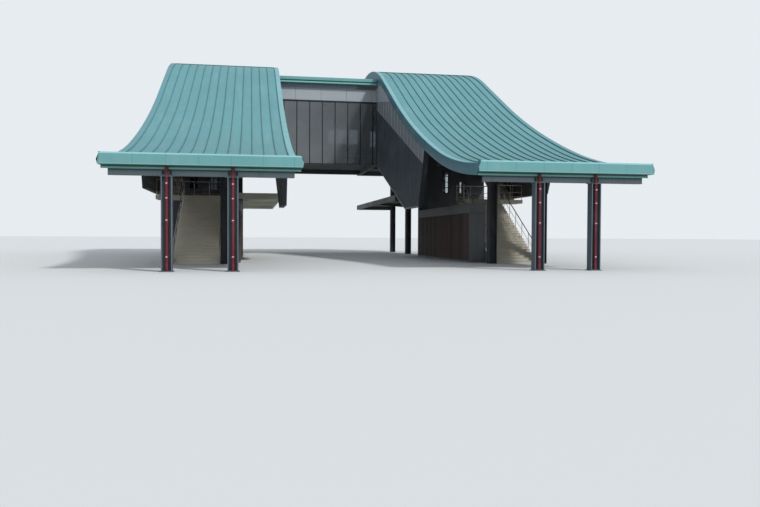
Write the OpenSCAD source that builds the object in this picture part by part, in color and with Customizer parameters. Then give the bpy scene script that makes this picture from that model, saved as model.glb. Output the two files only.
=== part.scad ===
// Railway station building: two stair halls with ogee roofs, joined by a glazed concourse bridge.
// Everything is drawn in station coordinates: x across the tracks from the middle of the bridge,
// y along the tracks from the front eaves, z up from platform level. The last step centres it in y.

/* [Overall] */
// Length of the roofs along the tracks
length = 39000; // [37000:100:42000]
// Clear gap over the tracks, between the two roofs
track_gap = 7680; // [7000:10:9000]
// Width of one hall roof
hall_w = 8060; // [7800:10:8600]

/* [Roof] */
// Height of the roof sheet at the front eaves
eave_z = 4660; // [4600:10:4720]
// Slope of the roof at the front eaves, in degrees
eave_deg = 3.5; // [2:0.1:5]
// Radius of the first hollow curve
hollow_r = 35600; // [34000:100:37000]
// Distance from the eaves to the end of the first hollow curve
hollow_end_y = 8000; // [7000:100:9000]
// Radius of the second, flatter hollow curve
sweep_r = 75000; // [70000:500:82000]
// Steepest slope of the roof, in degrees
steep_deg = 26.4; // [25.5:0.1:27.5]
// Distance from the eaves to the start of the rounded crest
crest_start_y = 25070; // [24000:10:26000]
// Radius of the rounded crest
crest_r = 17200; // [15000:100:18500]
// Thickness of the roof deck with its sheet
deck_t = 120; // [80:5:160]
// Thickness of the verge cladding
verge_t = 80; // [50:5:120]
// Depth of the verge cladding below the roof surface
verge_depth = 500; // [480:10:600]
// Height of the verge flashing above the roof surface
verge_upstand = 60; // [20:5:90]
// Depth of a rafter
rafter_d = 350; // [250:10:370]
// Width of the flat cap along each verge
cap_w = 300; // [200:10:350]
// Number of roof pans between the caps
pans = 13; // [10:1:16]
// Width of a standing seam
seam_w = 40; // [25:1:50]
// Height of a standing seam
seam_h = 45; // [15:1:80]
// Spacing of the straight pieces that make up the curved roof
roof_step = 1000; // [500:50:1500]

/* [Front eaves] */
// Top of the front fascia
fascia_top_z = 4810; // [4780:10:4860]
// Height of the front fascia
fascia_h = 490; // [400:10:520]
// Depth of the box gutter behind the fascia
gutter_d = 460; // [440:10:500]
// Thickness of the gutter sheet with its lining
gutter_t = 60; // [40:5:80]
// Distance that the crease at each end of the fascia stands out sideways
nose_d = 80; // [20:5:100]
// Distance from the top of the fascia down to that crease
crease_drop = 210; // [150:10:300]
// Height of the recess between the fascia and its lip
reveal_h = 85; // [50:5:95]
// Height of the lip under the fascia
lip_h = 80; // [60:5:110]
// Thickness of the lip
lip_t = 40; // [30:5:60]
// Gap that the gutter keeps to the eave beam, and its lip to the rain pipes
gutter_gap = 5; // [4:1:10]
// Distance of the eave beam from the ends of the fascia
eave_inset = 280; // [200:10:450]
// Underside of the steel eave beam
eave_beam_z = 3920; // [3700:10:4050]
// Width of the steel eave beam
eave_beam_w = 240; // [200:10:300]
// Reach of the haunches under the eave beam, beside each front column
haunch = 90; // [60:10:140]

/* [Columns] */
// Distance from the roof's inner edge to the middle of the first front column
front_col_x = 2820; // [2700:10:2900]
// Distance between the middles of the two front columns
front_col_pitch = 2650; // [2500:10:2700]
// Width of a column
col_w = 440; // [380:10:480]
// Depth of a column along the tracks
col_d = 460; // [420:10:500]
// Thickness of the column flanges
flange_t = 40; // [25:1:60]
// Thickness of the column web
web_t = 30; // [20:1:50]
// Thickness of the base plates under the columns
base_t = 30; // [20:1:50]
// Distance that a front base plate runs past its column
base_lap = 60; // [30:5:100]
// Gap between a column and the stair beside it
col_gap = 10; // [5:1:30]
// Distance from the eaves to the first inner row of columns
row_y = 8600; // [8400:10:9000]
// Depth of the cross beams that the inner columns carry
cross_beam_d = 400; // [300:10:500]
// Thickness of the flanges of the cross beams
beam_flange_t = 30; // [20:1:45]
// Gap between two rafters over a cross beam
splice = 10; // [5:1:20]

/* [Rain pipes] */
// Diameter of a rain pipe
pipe_dia = 140; // [100:5:150]
// Height of a pipe bracket
bracket_h = 60; // [40:5:80]
// Thickness of a pipe bracket beside the pipe
bracket_t = 15; // [10:1:25]

/* [Side walls] */
// Thickness of a clad wall
wall_t = 250; // [200:10:300]
// Distance from the eaves to the front edge of the side walls
wall_front_y = 10870; // [10500:10:11500]
// Underside of the inner side walls at their front edge
wall_low_z = 3250; // [3000:10:3400]
// Underside of the outer side walls at their front edge
outer_low_z = 4100; // [3600:10:4200]
// Distance from the eaves to where the underside of the inner walls starts to rise
wall_bend_y = 16500; // [16000:100:17000]
// Distance between the battens over the cladding joints
batten_pitch = 1100; // [800:10:1500]
// Width of a batten
batten_w = 60; // [40:5:90]
// Height of a batten above the wall
batten_h = 25; // [15:1:40]
// Height of the sill of the rear windows above the floor
sill_h = 1000; // [800:10:1200]
// Width of the wall left beside the rear windows
window_margin = 900; // [700:10:1500]

/* [Floor] */
// Height of the concourse floor
floor_z = 7800; // [7600:10:8000]
// Thickness of the concourse floor
slab_t = 300; // [250:10:350]
// Depth of the edge girders under the concourse floor
girder_d = 350; // [300:10:400]
// Width of an edge girder
girder_w = 250; // [200:10:300]

/* [Bridge] */
// Distance from the eaves to the front of the bridge
bridge_y = 27900; // [27500:10:28500]
// Distance from the rear of the bridge to the rear of the roofs
bridge_inset = 1100; // [900:10:1500]
// Thickness of the bridge facades
facade_t = 250; // [200:10:300]
// Height of the top of the facade glass
glass_top_z = 12110; // [12000:10:12500]
// Thickness of the glass
glass_t = 40; // [30:1:60]
// Number of glass panels across the bridge
panels = 8; // [6:1:10]
// Width of a glazing post
post_w = 60; // [40:5:90]
// Underside of the window strip in the rear facade
strip_z = 9900; // [9500:10:10200]
// Height of the window strip in the rear facade
strip_h = 1400; // [1200:10:1600]
// Height of the metal panel band above the glass
band_h = 950; // [800:10:1000]
// Height of the recess between the band and the bridge roof
recess_h = 310; // [250:10:400]
// Height of the fascia of the bridge roof
bridge_fascia_h = 460; // [380:10:490]
// Thickness of the bridge roof behind its fascia
bridge_roof_t = 180; // [120:10:250]
// Distance that the bridge roof runs past its facades
bridge_eave = 500; // [300:10:600]

/* [Stairs] */
// Distance from the eaves to the foot of the stair
stair_y = 8900; // [8850:10:9200]
// Distance from the roof's inner edge to the stair
stair_x = 3660; // [3600:10:3800]
// Width of the stair
stair_w = 2450; // [2200:10:2500]
// Number of steps in one flight
flight_steps = 25; // [24:1:26]
// Depth of one tread
going = 268; // [260:1:275]
// Thickness of the sloping slab under the steps
waist_t = 200; // [160:10:240]
// Length of the landing between the flights
landing_l = 1600; // [1400:50:1700]
// Joint between neighbouring steps
step_joint = 6; // [4:1:10]
// Number of steps from one railing post to the next
post_every = 4; // [3:1:6]
// Height of the stair railing above the steps
rail_h = 950; // [850:10:1100]
// Diameter of the handrails
rail_dia = 60; // [50:1:70]
// Diameter of the railing posts
post_dia = 40; // [30:1:45]

/* [Ground level] */
// Distance from the eaves to the front end of the stone-clad wall
stone_y = 10600; // [10000:100:11000]
// Height of the stone-clad wall
stone_h = 3400; // [3200:10:3500]
// Thickness of the stone-clad wall
stone_t = 900; // [600:10:950]
// Distance from the roof's inner edge to the stone-clad wall
stone_x = 2660; // [2500:10:2800]

/* [Windows under the floor] */
// Distance from the stair's inner side to the tall window
tall_window_x = 770; // [600:10:900]
// Height of the tall window
tall_window_h = 1700; // [1500:10:1800]
// Distance from the stair's inner side to the short window
short_window_x = 2140; // [1900:10:2200]
// Height of the short window
short_window_h = 900; // [700:10:1100]
// Width of both windows
back_window_w = 550; // [450:10:600]
// Height of their sills
back_window_z = 4750; // [4500:10:4900]

/* [Platform canopy] */
// Distance from the eaves to the front of the canopy
canopy_y = 20000; // [19600:100:21000]
// Underside of the canopy
canopy_z = 3950; // [3800:10:4000]
// Height of the canopy with its fascia
canopy_h = 400; // [300:10:420]
// Thickness of the canopy roof and of its fascia
canopy_t = 90; // [60:5:120]

/* [Hidden] */

roof_colour = [0.36, 0.62, 0.60];
steel_colour = [0.25, 0.29, 0.33];
clad_colour = [0.32, 0.34, 0.36];
band_colour = [0.62, 0.64, 0.66];
glass_colour = [0.25, 0.28, 0.30, 0.6];
pipe_colour = [0.60, 0.14, 0.16];
concrete_colour = [0.68, 0.66, 0.61];
stone_colour = [0.60, 0.48, 0.42];
rail_colour = [0.75, 0.76, 0.77];

// Distance that a cut runs past the faces it opens
cut_past = 1;

// Inner and outer edge of a hall roof, and of the space between its verges
edge_in = track_gap / 2;
edge_out = edge_in + hall_w;
wall_in = edge_in + verge_t;
wall_out = edge_out - verge_t;
room_in = wall_in + wall_t;
room_out = wall_out - wall_t;
rear_y = length - verge_t;
rafter_bottom = deck_t + rafter_d;
fascia_z = fascia_top_z - fascia_h;
slab_z = floor_z - slab_t;
skirt_z = slab_z - girder_d;

// Stair: heights, places along the tracks, and the edges of both flights
riser = floor_z / (2 * flight_steps);
landing_z = flight_steps * riser;
flight_l = flight_steps * going;
landing_y = stair_y + flight_l;
upper_y = landing_y + landing_l;
floor_y = upper_y + flight_l;
stair_in = edge_in + stair_x;
stair_out = stair_in + stair_w;
upper_in = stair_out + col_w + 2 * col_gap;
upper_out = room_out;

// Rows of cross beams; the last three rows of columns carry the concourse floor
first_floor_row = floor_y + wall_t;
last_floor_row = rear_y - wall_t - col_d;
floor_rows = [first_floor_row, (first_floor_row + last_floor_row) / 2, last_floor_row];
beam_ys = concat([row_y, landing_y], floor_rows);

// Bridge: its rear face and the underside of its roof
bridge_rear_y = length - bridge_inset;
bridge_roof_z = glass_top_z + band_h + recess_h + bridge_fascia_h - bridge_roof_t;

// Wall under the edge of the concourse floor and its two windows
back_wall_in = edge_in + stone_x;
back_window_xs = [stair_in + tall_window_x, stair_in + short_window_x];
back_window_hs = [tall_window_h, short_window_h];

// Heights of the brackets on a rain pipe
bracket_zs = [580, 2080, 2980, 3580];

// Slopes and joints of the four stretches of the roof curve
eave_sin = sin(eave_deg);
hollow_sin = eave_sin + hollow_end_y / hollow_r;
steep_sin = sin(steep_deg);
sweep_end_y = hollow_end_y + (steep_sin - hollow_sin) * sweep_r;
crest_end_y = crest_start_y + steep_sin * crest_r;
hollow_end_z = eave_z + hollow_r * (cos(eave_deg) - sqrt(1 - pow(hollow_sin, 2)));
sweep_end_z = hollow_end_z + sweep_r * (sqrt(1 - pow(hollow_sin, 2)) - cos(steep_deg));
crest_start_z = sweep_end_z + (crest_start_y - sweep_end_y) * tan(steep_deg);
crest_z = crest_start_z + crest_r * (1 - cos(steep_deg));

// Sine of the roof's slope at distance y from the eaves
function slope_sin(y) =
    y < 0 ? eave_sin
    : y < hollow_end_y ? eave_sin + y / hollow_r
    : y < sweep_end_y ? hollow_sin + (y - hollow_end_y) / sweep_r
    : y < crest_start_y ? steep_sin
    : y < crest_end_y ? steep_sin - (y - crest_start_y) / crest_r
    : 0;
function slope_cos(y) = sqrt(1 - pow(slope_sin(y), 2));

// Height of the roof surface at distance y from the eaves
function surface_z(y) =
    y < 0 ? eave_z + y * tan(eave_deg)
    : y < hollow_end_y ? eave_z + hollow_r * (cos(eave_deg) - slope_cos(y))
    : y < sweep_end_y ? hollow_end_z + sweep_r * (sqrt(1 - pow(hollow_sin, 2)) - slope_cos(y))
    : y < crest_start_y ? sweep_end_z + (y - sweep_end_y) * tan(steep_deg)
    : y < crest_end_y ? crest_start_z + crest_r * (slope_cos(y) - cos(steep_deg))
    : crest_z;

// Point of the roof surface whose normal, followed down by depth, ends above y
function foot_y(y, depth, tries = 8) =
    tries == 0 ? y : y - depth * slope_sin(foot_y(y, depth, tries - 1));

// Height at y of the curve that lies depth below the surface
function curve_z(y, depth) =
    let (u = foot_y(y, depth))
    surface_z(u) - depth * slope_cos(u);

// The same, on the straight pieces between stations a roof_step apart
function layer_z(y, depth) =
    let (i = floor(y / roof_step), t = y / roof_step - i)
    curve_z(i * roof_step, depth) * (1 - t) + curve_z((i + 1) * roof_step, depth) * t;

// Points of a layer from y_a to y_b, with one at each station between them
function layer(y_a, y_b, depth) =
    let (first = floor(y_a / roof_step) + 1, last = ceil(y_b / roof_step) - 1)
    [
        [y_a, layer_z(y_a, depth)],
        for (i = [first:1:last]) [i * roof_step, layer_z(i * roof_step, depth)],
        [y_b, layer_z(y_b, depth)]
    ];
function backwards(list) = [for (i = [len(list) - 1:-1:0]) list[i]];

// Stretches a profile drawn in y and z across the building from x_a to x_b
module across(x_a, x_b) {
    translate([x_a, 0, 0])
        rotate([90, 0, 90])
            linear_extrude(x_b - x_a)
                children();
}

module roof_layer(x_a, x_b, y_a, y_b, top, bottom) {
    across(x_a, x_b)
        polygon(concat(layer(y_a, y_b, bottom), backwards(layer(y_a, y_b, top))));
}

// A post, beam or wall that ends under the rafters
module up_to_rafters(x_a, x_b, y_a, y_b, z) {
    across(x_a, x_b)
        polygon(concat([[y_b, z], [y_a, z]], layer(y_a, y_b, rafter_bottom)));
}

module box(low, high) {
    translate(low)
        cube(high - low);
}

// A pane of glass in the middle of an opening
module pane(low, high) {
    middle_y = (low[1] + high[1]) / 2;
    box([low[0], middle_y - glass_t / 2, low[2]], [high[0], middle_y + glass_t / 2, high[2]]);
}

// Puts a piece drawn for the right-hand hall on either side, and centres the building in y
module placed(side = 1) {
    translate([0, -length / 2, 0])
        mirror([side < 0 ? 1 : 0, 0, 0])
            children();
}

// Deck with its sheet, and a standing seam between each two pans
module roof() {
    seam_pitch = (hall_w - 2 * cap_w) / pans;
    color(roof_colour)
        union() {
            roof_layer(wall_in, wall_out, gutter_d - gutter_t, rear_y, 0, deck_t);
            for (i = [0:pans]) {
                x = edge_in + cap_w + i * seam_pitch - seam_w * i / pans;
                roof_layer(x, x + seam_w, gutter_d - gutter_t, rear_y, -seam_h, 0);
            }
        }
}

// Boards along both edges and the rear, with flat caps that lie on the deck
module verges() {
    color(roof_colour)
        union() {
            for (x = [edge_in, edge_out - verge_t])
                roof_layer(x, x + verge_t, gutter_d, length, -verge_upstand, verge_depth);
            for (x = [edge_in, edge_out - cap_w])
                roof_layer(x, x + cap_w, gutter_d, length, -verge_upstand, 0);
            roof_layer(edge_in, edge_out, rear_y, length, -verge_upstand, verge_depth);
        }
}

// Flat fascia with creased ends, its box gutter, and a lip under a recess
module front_gutter() {
    back_y = gutter_d - gutter_t;
    reveal_z = fascia_z - reveal_h;
    crease_z = fascia_top_z - crease_drop;
    color(roof_colour)
        difference() {
            union() {
                translate([0, back_y, 0])
                    rotate([90, 0, 0])
                        linear_extrude(back_y)
                            polygon([[edge_in, fascia_top_z], [edge_in - nose_d, crease_z],
                                     [edge_in - nose_d / 2, fascia_z],
                                     [edge_out + nose_d / 2, fascia_z],
                                     [edge_out + nose_d, crease_z], [edge_out, fascia_top_z]]);
                across(edge_in, edge_out)
                    polygon(concat([[gutter_d, fascia_z], [back_y, fascia_z]],
                                   layer(back_y, gutter_d, deck_t)));
                box([edge_in + lip_t, gutter_d - lip_t / 2, reveal_z],
                    [edge_out - lip_t, gutter_d, fascia_z]);
                box([edge_in + lip_t / 2, gutter_d - lip_t, reveal_z - lip_h],
                    [edge_out - lip_t / 2, gutter_d, reveal_z]);
            }
            box([edge_in + gutter_t, gutter_t, fascia_z + 2 * gutter_t],
                [edge_out - gutter_t, back_y, fascia_top_z + cut_past]);
        }
}

// Middle of each front column and of each rafter across the hall
first_col_x = edge_in + front_col_x;
front_col_xs = [first_col_x, first_col_x + front_col_pitch];
rafter_xs = [wall_in + wall_t / 2, front_col_xs[0], front_col_xs[1], wall_out - wall_t / 2];

// The rafters are spliced over the middle of each cross beam
module rafters() {
    ends = concat([gutter_d], [for (y = beam_ys) y + col_d / 2], [rear_y]);
    color(steel_colour)
        for (x = rafter_xs, i = [0:len(ends) - 2])
            roof_layer(x - wall_t / 2, x + wall_t / 2, ends[i] + (i > 0 ? splice : 0),
                       ends[i + 1], deck_t, rafter_bottom);
}

// The eave beam stands on the back halves of the front columns, flush with the face of their webs
eave_beam_y = gutter_d + gutter_gap;
front_col_y = eave_beam_y - (col_d - web_t) / 2;

module eave_beam() {
    color(steel_colour)
        union() {
            up_to_rafters(edge_in + eave_inset, edge_out - eave_inset,
                          eave_beam_y, eave_beam_y + eave_beam_w, eave_beam_z);
            for (x = front_col_xs, s = [-1, 1])
                translate([x + s * col_w / 2, eave_beam_y + eave_beam_w, eave_beam_z])
                    rotate([90, 0, 0])
                        linear_extrude(eave_beam_w)
                            polygon([[0, 0], [s * haunch, 0], [0, -haunch]]);
        }
}

// An H-shaped post on its base plate, with its recesses to the front and the back
module h_post(x, y, height, lap = 0) {
    translate([x, y, 0])
        union() {
            linear_extrude(height)
                union() {
                    for (s = [-1, 1])
                        translate([s * (col_w - flange_t) / 2, col_d / 2])
                            square([flange_t, col_d], center = true);
                    translate([0, col_d / 2])
                        square([col_w, web_t], center = true);
                }
            translate([-col_w / 2 - lap, -lap, 0])
                cube([col_w + 2 * lap, col_d + 2 * lap, base_t]);
        }
}

module front_columns() {
    color(steel_colour)
        for (x = front_col_xs)
            h_post(x, front_col_y, eave_beam_z, base_lap);
}

// Middle of a rain pipe, in front of the lip of the gutter
pipe_y = gutter_d - lip_t - gutter_gap - pipe_dia / 2;

// Pipes that run straight up to the underside of the gutter, with brackets to the column webs
module rain_pipes() {
    color(pipe_colour)
        for (x = front_col_xs)
            translate([x, pipe_y, 0]) {
                translate([0, 0, base_t])
                    cylinder(d = pipe_dia, h = fascia_z - base_t, $fn = 32);
                for (z = bracket_zs)
                    translate([-pipe_dia / 2 - bracket_t, 0, z])
                        cube([pipe_dia + 2 * bracket_t, eave_beam_y - pipe_y, bracket_h]);
            }
}

// Middle of the two column lines that flank the stair
row_xs = [stair_in - col_w / 2 - col_gap, stair_out + col_w / 2 + col_gap];

function beam_bottom(y) = layer_z(y, rafter_bottom) - cross_beam_d;

// I-shaped beams, with a top flange that follows the rafters
module cross_beams() {
    color(steel_colour)
        for (y = beam_ys)
            union() {
                box([room_in, y, beam_bottom(y)], [room_out, y + col_d, beam_bottom(y) + beam_flange_t]);
                up_to_rafters(room_in, room_out, y + (col_d - web_t) / 2, y + (col_d + web_t) / 2,
                              beam_bottom(y));
                roof_layer(room_in, room_out, y, y + col_d, rafter_bottom,
                           rafter_bottom + beam_flange_t);
            }
}

// The first row stands free, the others carry the floor and go on above it
module inner_columns() {
    color(steel_colour)
        for (x = row_xs) {
            h_post(x, beam_ys[0], beam_bottom(beam_ys[0]));
            for (y = floor_rows) {
                h_post(x, y, skirt_z);
                translate([0, 0, floor_z])
                    h_post(x, y, beam_bottom(y) - floor_z);
            }
        }
}

// Rise of the underside of the side walls, per unit of length along the tracks
wall_rise = (skirt_z - wall_low_z) / (bridge_y - wall_bend_y);

// Front edge of the side walls: its top, from which it runs down square to the steepest slope
wall_front_z = layer_z(wall_front_y, rafter_bottom);

// Outline of a side wall: its underside is level at low_z, then rises to the concourse
module side_wall_outline(low_z) {
    toe_y = wall_front_y + (wall_front_z - low_z) * tan(steep_deg);
    bend_y = bridge_y - (skirt_z - low_z) / wall_rise;
    bottom = [[toe_y, low_z], [bend_y, low_z], [bridge_y, skirt_z], [rear_y, skirt_z]];
    polygon(concat(bottom, backwards(layer(wall_front_y, rear_y, rafter_bottom))));
}

// Height of its lower outline at distance y from the eaves
function underside_z(y, low_z) =
    min(skirt_z, max(low_z, skirt_z - (bridge_y - y) * wall_rise,
                     wall_front_z - (y - wall_front_y) / tan(steep_deg)));

// Battens on the face of a side wall, from above its underside up to the verge cladding
module side_battens(x, low_z, ys) {
    for (y = ys, end_y = y + batten_w)
        across(x, x + batten_h)
            polygon([[y, underside_z(y, low_z) + batten_w],
                     [end_y, underside_z(end_y, low_z) + batten_w],
                     [end_y, layer_z(end_y, verge_depth)],
                     [y, layer_z(y, verge_depth)]]);
}

doorway_y = bridge_y + facade_t;
doorway_end_y = bridge_rear_y - facade_t;

module inner_wall() {
    color(clad_colour)
        difference() {
            across(wall_in, room_in)
                side_wall_outline(wall_low_z);
            box([wall_in - cut_past, doorway_y, 0], [room_in + cut_past, doorway_end_y, crest_z]);
        }
}

// The part of that wall under and over the doorway to the bridge
module doorway_wall() {
    color(clad_colour) {
        box([wall_in, doorway_y, skirt_z], [room_in, doorway_end_y, slab_z]);
        up_to_rafters(wall_in, room_in, doorway_y, doorway_end_y, glass_top_z);
    }
}

module outer_wall() {
    color(clad_colour)
        across(room_out, wall_out)
            side_wall_outline(outer_low_z);
}

// Battens of both side walls; those of the inner wall end at the bridge
module battens() {
    first_y = wall_front_y + batten_pitch / 2;
    color(clad_colour) {
        side_battens(wall_in - batten_h, wall_low_z,
                     [first_y:batten_pitch:bridge_y - bridge_eave - batten_w]);
        side_battens(wall_out, outer_low_z, [first_y:batten_pitch:rear_y - 2 * batten_w]);
    }
}

rear_window_low = [room_in + window_margin, rear_y - wall_t, floor_z + sill_h];
rear_window_high = [room_out - window_margin, rear_y, glass_top_z];

module rear_wall() {
    color(clad_colour)
        difference() {
            up_to_rafters(room_in, room_out, rear_y - wall_t, rear_y, skirt_z);
            box(rear_window_low - [0, cut_past, 0], rear_window_high + [0, cut_past, 0]);
        }
}

// Panes in the rear walls and in the walls under the concourse floor
module hall_window_glass() {
    color(glass_colour) {
        pane(rear_window_low, rear_window_high);
        for (i = [0, 1])
            pane(back_window_low(i), back_window_high(i));
    }
}

// The floor slab stands on a girder over each row of columns
module hall_floor() {
    color(concrete_colour)
        union() {
            box([room_in, floor_y, slab_z], [room_out, rear_y - wall_t, floor_z]);
            for (y = floor_rows)
                box([room_in, y, skirt_z], [room_out, y + col_d, slab_z]);
        }
}

// Sloping slab under the lower flight, thickest where the ground cuts its foot off
waist_drop = waist_t / cos(atan(riser / going));

module lower_waist() {
    across(stair_in, stair_out)
        polygon([[stair_y, 0], [stair_y + waist_drop * going / riser, 0],
                 [landing_y, landing_z - waist_drop], [landing_y, landing_z]]);
}

module upper_waist() {
    across(upper_in, upper_out)
        polygon([[upper_y, landing_z], [upper_y, landing_z - waist_t],
                 [upper_y + (waist_drop - waist_t) * going / riser, landing_z - waist_t],
                 [floor_y, floor_z - waist_drop], [floor_y, floor_z]]);
}

// Both flights meet the landing, which runs on to the outer wall
module stair_slab() {
    color(concrete_colour)
        union() {
            lower_waist();
            upper_waist();
            box([stair_in, landing_y, landing_z - waist_drop], [room_out, upper_y, landing_z]);
        }
}

// Steps of one flight as wedges on the sloping slab, with a joint behind each
module flight(x_a, x_b, y, z) {
    tread = going - step_joint;
    for (i = [0:flight_steps - 1])
        translate([0, y + i * going, z + i * riser])
            across(x_a, x_b)
                polygon([[0, 0], [tread, riser * tread / going], [tread, riser], [0, riser]]);
}

module stair_steps() {
    color(concrete_colour) {
        flight(stair_in, stair_out, stair_y, 0);
        flight(upper_in, upper_out, upper_y, landing_z);
    }
}

// Posts and a handrail along one side of a flight that starts at y and z
module flight_railing(x, y, z) {
    first = 0.5 * going;
    last = (flight_steps - 0.5) * going;
    rail_y = y + first;
    rail_z = z + riser + rail_h;
    slope = atan(riser / going);
    for (i = [0:post_every:flight_steps - 1])
        translate([x, y + (i + 0.5) * going, z + (i + 1) * riser])
            cylinder(d = post_dia, h = rail_h, $fn = 16);
    translate([x, rail_y, rail_z])
        rotate([slope - 90, 0, 0])
            cylinder(d = rail_dia, h = (last - first) / cos(slope), $fn = 16);
}

module stair_railings() {
    color(rail_colour)
        union() {
            for (x = [stair_in + rail_dia, stair_out - rail_dia])
                flight_railing(x, stair_y, 0);
            for (x = [upper_in + rail_dia, upper_out - rail_dia])
                flight_railing(x, upper_y, landing_z);
            level_railing(stair_out + rail_dia, room_out - rail_dia, landing_y + rail_dia, landing_z);
            level_railing(stair_in + rail_dia, upper_in - rail_dia, upper_y - rail_dia, landing_z);
            level_railing(room_in + rail_dia, upper_in - rail_dia, floor_y + rail_dia, floor_z);
        }
}

// Railing along x on a level edge, with posts, a handrail and a middle rail
module level_railing(x_a, x_b, y, z) {
    bays = ceil((x_b - x_a) / (post_every * going));
    for (i = [0:bays])
        translate([x_a + (x_b - x_a) * i / bays, y, z])
            cylinder(d = post_dia, h = rail_h, $fn = 16);
    for (rail = [[rail_h, rail_dia], [rail_h / 2, post_dia / 2]])
        translate([x_a - rail_dia / 2, y, z + rail[0]])
            rotate([0, 90, 0])
                cylinder(d = rail[1], h = x_b - x_a + rail_dia, $fn = 16);
}

// Wall under the front edge of the concourse floor, with two small windows
function back_window_low(i) = [back_window_xs[i], floor_y, back_window_z];
function back_window_high(i) =
    back_window_low(i) + [back_window_w, wall_t, back_window_hs[i]];

module back_wall() {
    color(clad_colour)
        difference() {
            box([back_wall_in, floor_y, 0], [room_out, floor_y + wall_t, slab_z]);
            for (i = [0, 1])
                box(back_window_low(i) - [0, cut_past, 0], back_window_high(i) + [0, cut_past, 0]);
        }
}

// Small canopy over the platform: a thin roof with a fascia, on an arm from each column beside it.
// It is cut out round the end of the back wall.
module platform_canopy() {
    canopy_end = row_xs[0] - col_w / 2;
    canopy_top = canopy_z + canopy_h;
    color(roof_colour)
        union() {
            difference() {
                box([wall_in, canopy_y, canopy_z], [canopy_end, rear_y, canopy_top]);
                box([wall_in + canopy_t, canopy_y + canopy_t, canopy_z - cut_past],
                    [canopy_end + cut_past, rear_y - canopy_t, canopy_top - canopy_t]);
                box([back_wall_in, floor_y, canopy_z - cut_past],
                    [canopy_end + cut_past, floor_y + wall_t, canopy_top + cut_past]);
            }
            for (y = floor_rows)
                translate([0, y + (col_d + canopy_t) / 2, 0])
                    rotate([90, 0, 0])
                        linear_extrude(canopy_t)
                            polygon([[wall_in, canopy_top - canopy_t], [canopy_end, canopy_top - canopy_t],
                                     [canopy_end, canopy_z], [wall_in, canopy_top - 2 * canopy_t]]);
        }
}

module stone_wall() {
    color(stone_colour)
        box([back_wall_in, stone_y, 0], [back_wall_in + stone_t, floor_y, stone_h]);
}

module bridge_deck() {
    color(concrete_colour)
        union() {
            box([-room_in, doorway_y, slab_z], [room_in, doorway_end_y, floor_z]);
            for (y = [doorway_y, doorway_end_y - girder_w])
                box([-wall_in, y, skirt_z], [wall_in, y + girder_w, slab_z]);
        }
}

module bridge_front_glass() {
    color(glass_colour)
        box([-wall_in + post_w, bridge_y, skirt_z + post_w],
            [wall_in - post_w, bridge_y + glass_t, glass_top_z]);
}

module bridge_rear_glass() {
    color(glass_colour)
        pane([-wall_in + post_w, bridge_rear_y - facade_t, strip_z],
             [wall_in - post_w, bridge_rear_y, strip_z + strip_h]);
}

// Panel band above the windows of a facade, with the recess under the roof
module facade_top(y_a, y_b, recess_y_a, recess_y_b) {
    band_top = glass_top_z + band_h;
    box([-wall_in, y_a, glass_top_z], [wall_in, y_b, band_top]);
    box([-wall_in, recess_y_a, band_top], [wall_in, recess_y_b, bridge_roof_z]);
}

// Glazing posts across the bridge, from y_a to y_b
module facade_posts(y_a, y_b, z_a, z_b) {
    pitch = (2 * wall_in - post_w) / panels;
    for (i = [0:panels])
        box([-wall_in + i * pitch, y_a, z_a], [-wall_in + i * pitch + post_w, y_b, z_b]);
}

recess = facade_t / 4;

module bridge_front_frame() {
    end_y = bridge_y + facade_t;
    color(band_colour)
        union() {
            facade_top(bridge_y, end_y, bridge_y + recess, end_y);
            facade_posts(bridge_y + glass_t, end_y, skirt_z, glass_top_z);
            box([-wall_in, bridge_y, skirt_z], [wall_in, end_y, skirt_z + post_w]);
            for (x = [-wall_in, wall_in - post_w])
                box([x, bridge_y, skirt_z], [x + post_w, end_y, glass_top_z]);
        }
}

// The rear facade is closed, apart from a strip of windows
module bridge_rear_frame() {
    front_y = bridge_rear_y - facade_t;
    color(band_colour)
        union() {
            facade_top(front_y, bridge_rear_y, front_y, bridge_rear_y - recess);
            box([-wall_in, front_y, skirt_z], [wall_in, bridge_rear_y, strip_z]);
            box([-wall_in, front_y, strip_z + strip_h], [wall_in, bridge_rear_y, glass_top_z]);
            facade_posts(front_y, front_y + (facade_t - glass_t) / 2, strip_z, strip_z + strip_h);
            for (x = [-wall_in, wall_in - post_w])
                box([x, front_y, strip_z], [x + post_w, bridge_rear_y, strip_z + strip_h]);
        }
}

// Flat roof that runs past both facades, with a deep fascia at each end
module bridge_roof() {
    top = bridge_roof_z + bridge_roof_t;
    front_y = bridge_y - bridge_eave;
    end_y = bridge_rear_y + bridge_eave;
    color(roof_colour)
        union() {
            box([-edge_in, front_y, bridge_roof_z], [edge_in, end_y, top]);
            for (y = [front_y, end_y - canopy_t])
                box([-edge_in, y, top - bridge_fascia_h], [edge_in, y + canopy_t, top]);
        }
}

placed(-1) roof();  // left_roof
placed(-1) verges();  // left_verges
placed(-1) front_gutter();  // left_front_gutter
placed(-1) rafters();  // left_rafters
placed(-1) eave_beam();  // left_eave_beam
placed(-1) front_columns();  // left_front_columns
placed(-1) rain_pipes();  // left_rain_pipes
placed(-1) cross_beams();  // left_cross_beams
placed(-1) inner_columns();  // left_inner_columns
placed(-1) inner_wall();  // left_inner_wall
placed(-1) doorway_wall();  // left_doorway_wall
placed(-1) outer_wall();  // left_outer_wall
placed(-1) rear_wall();  // left_rear_wall
placed(-1) hall_floor();  // left_hall_floor
placed(-1) stair_slab();  // left_stair_slab
placed(-1) stair_steps();  // left_stair_steps
placed(-1) stair_railings();  // left_stair_railings
placed(-1) stone_wall();  // left_stone_wall
placed(-1) back_wall();  // left_back_wall
placed(-1) platform_canopy();  // left_platform_canopy
placed(-1) battens();  // left_battens
placed() roof();  // right_roof
placed() verges();  // right_verges
placed() front_gutter();  // right_front_gutter
placed() rafters();  // right_rafters
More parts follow.
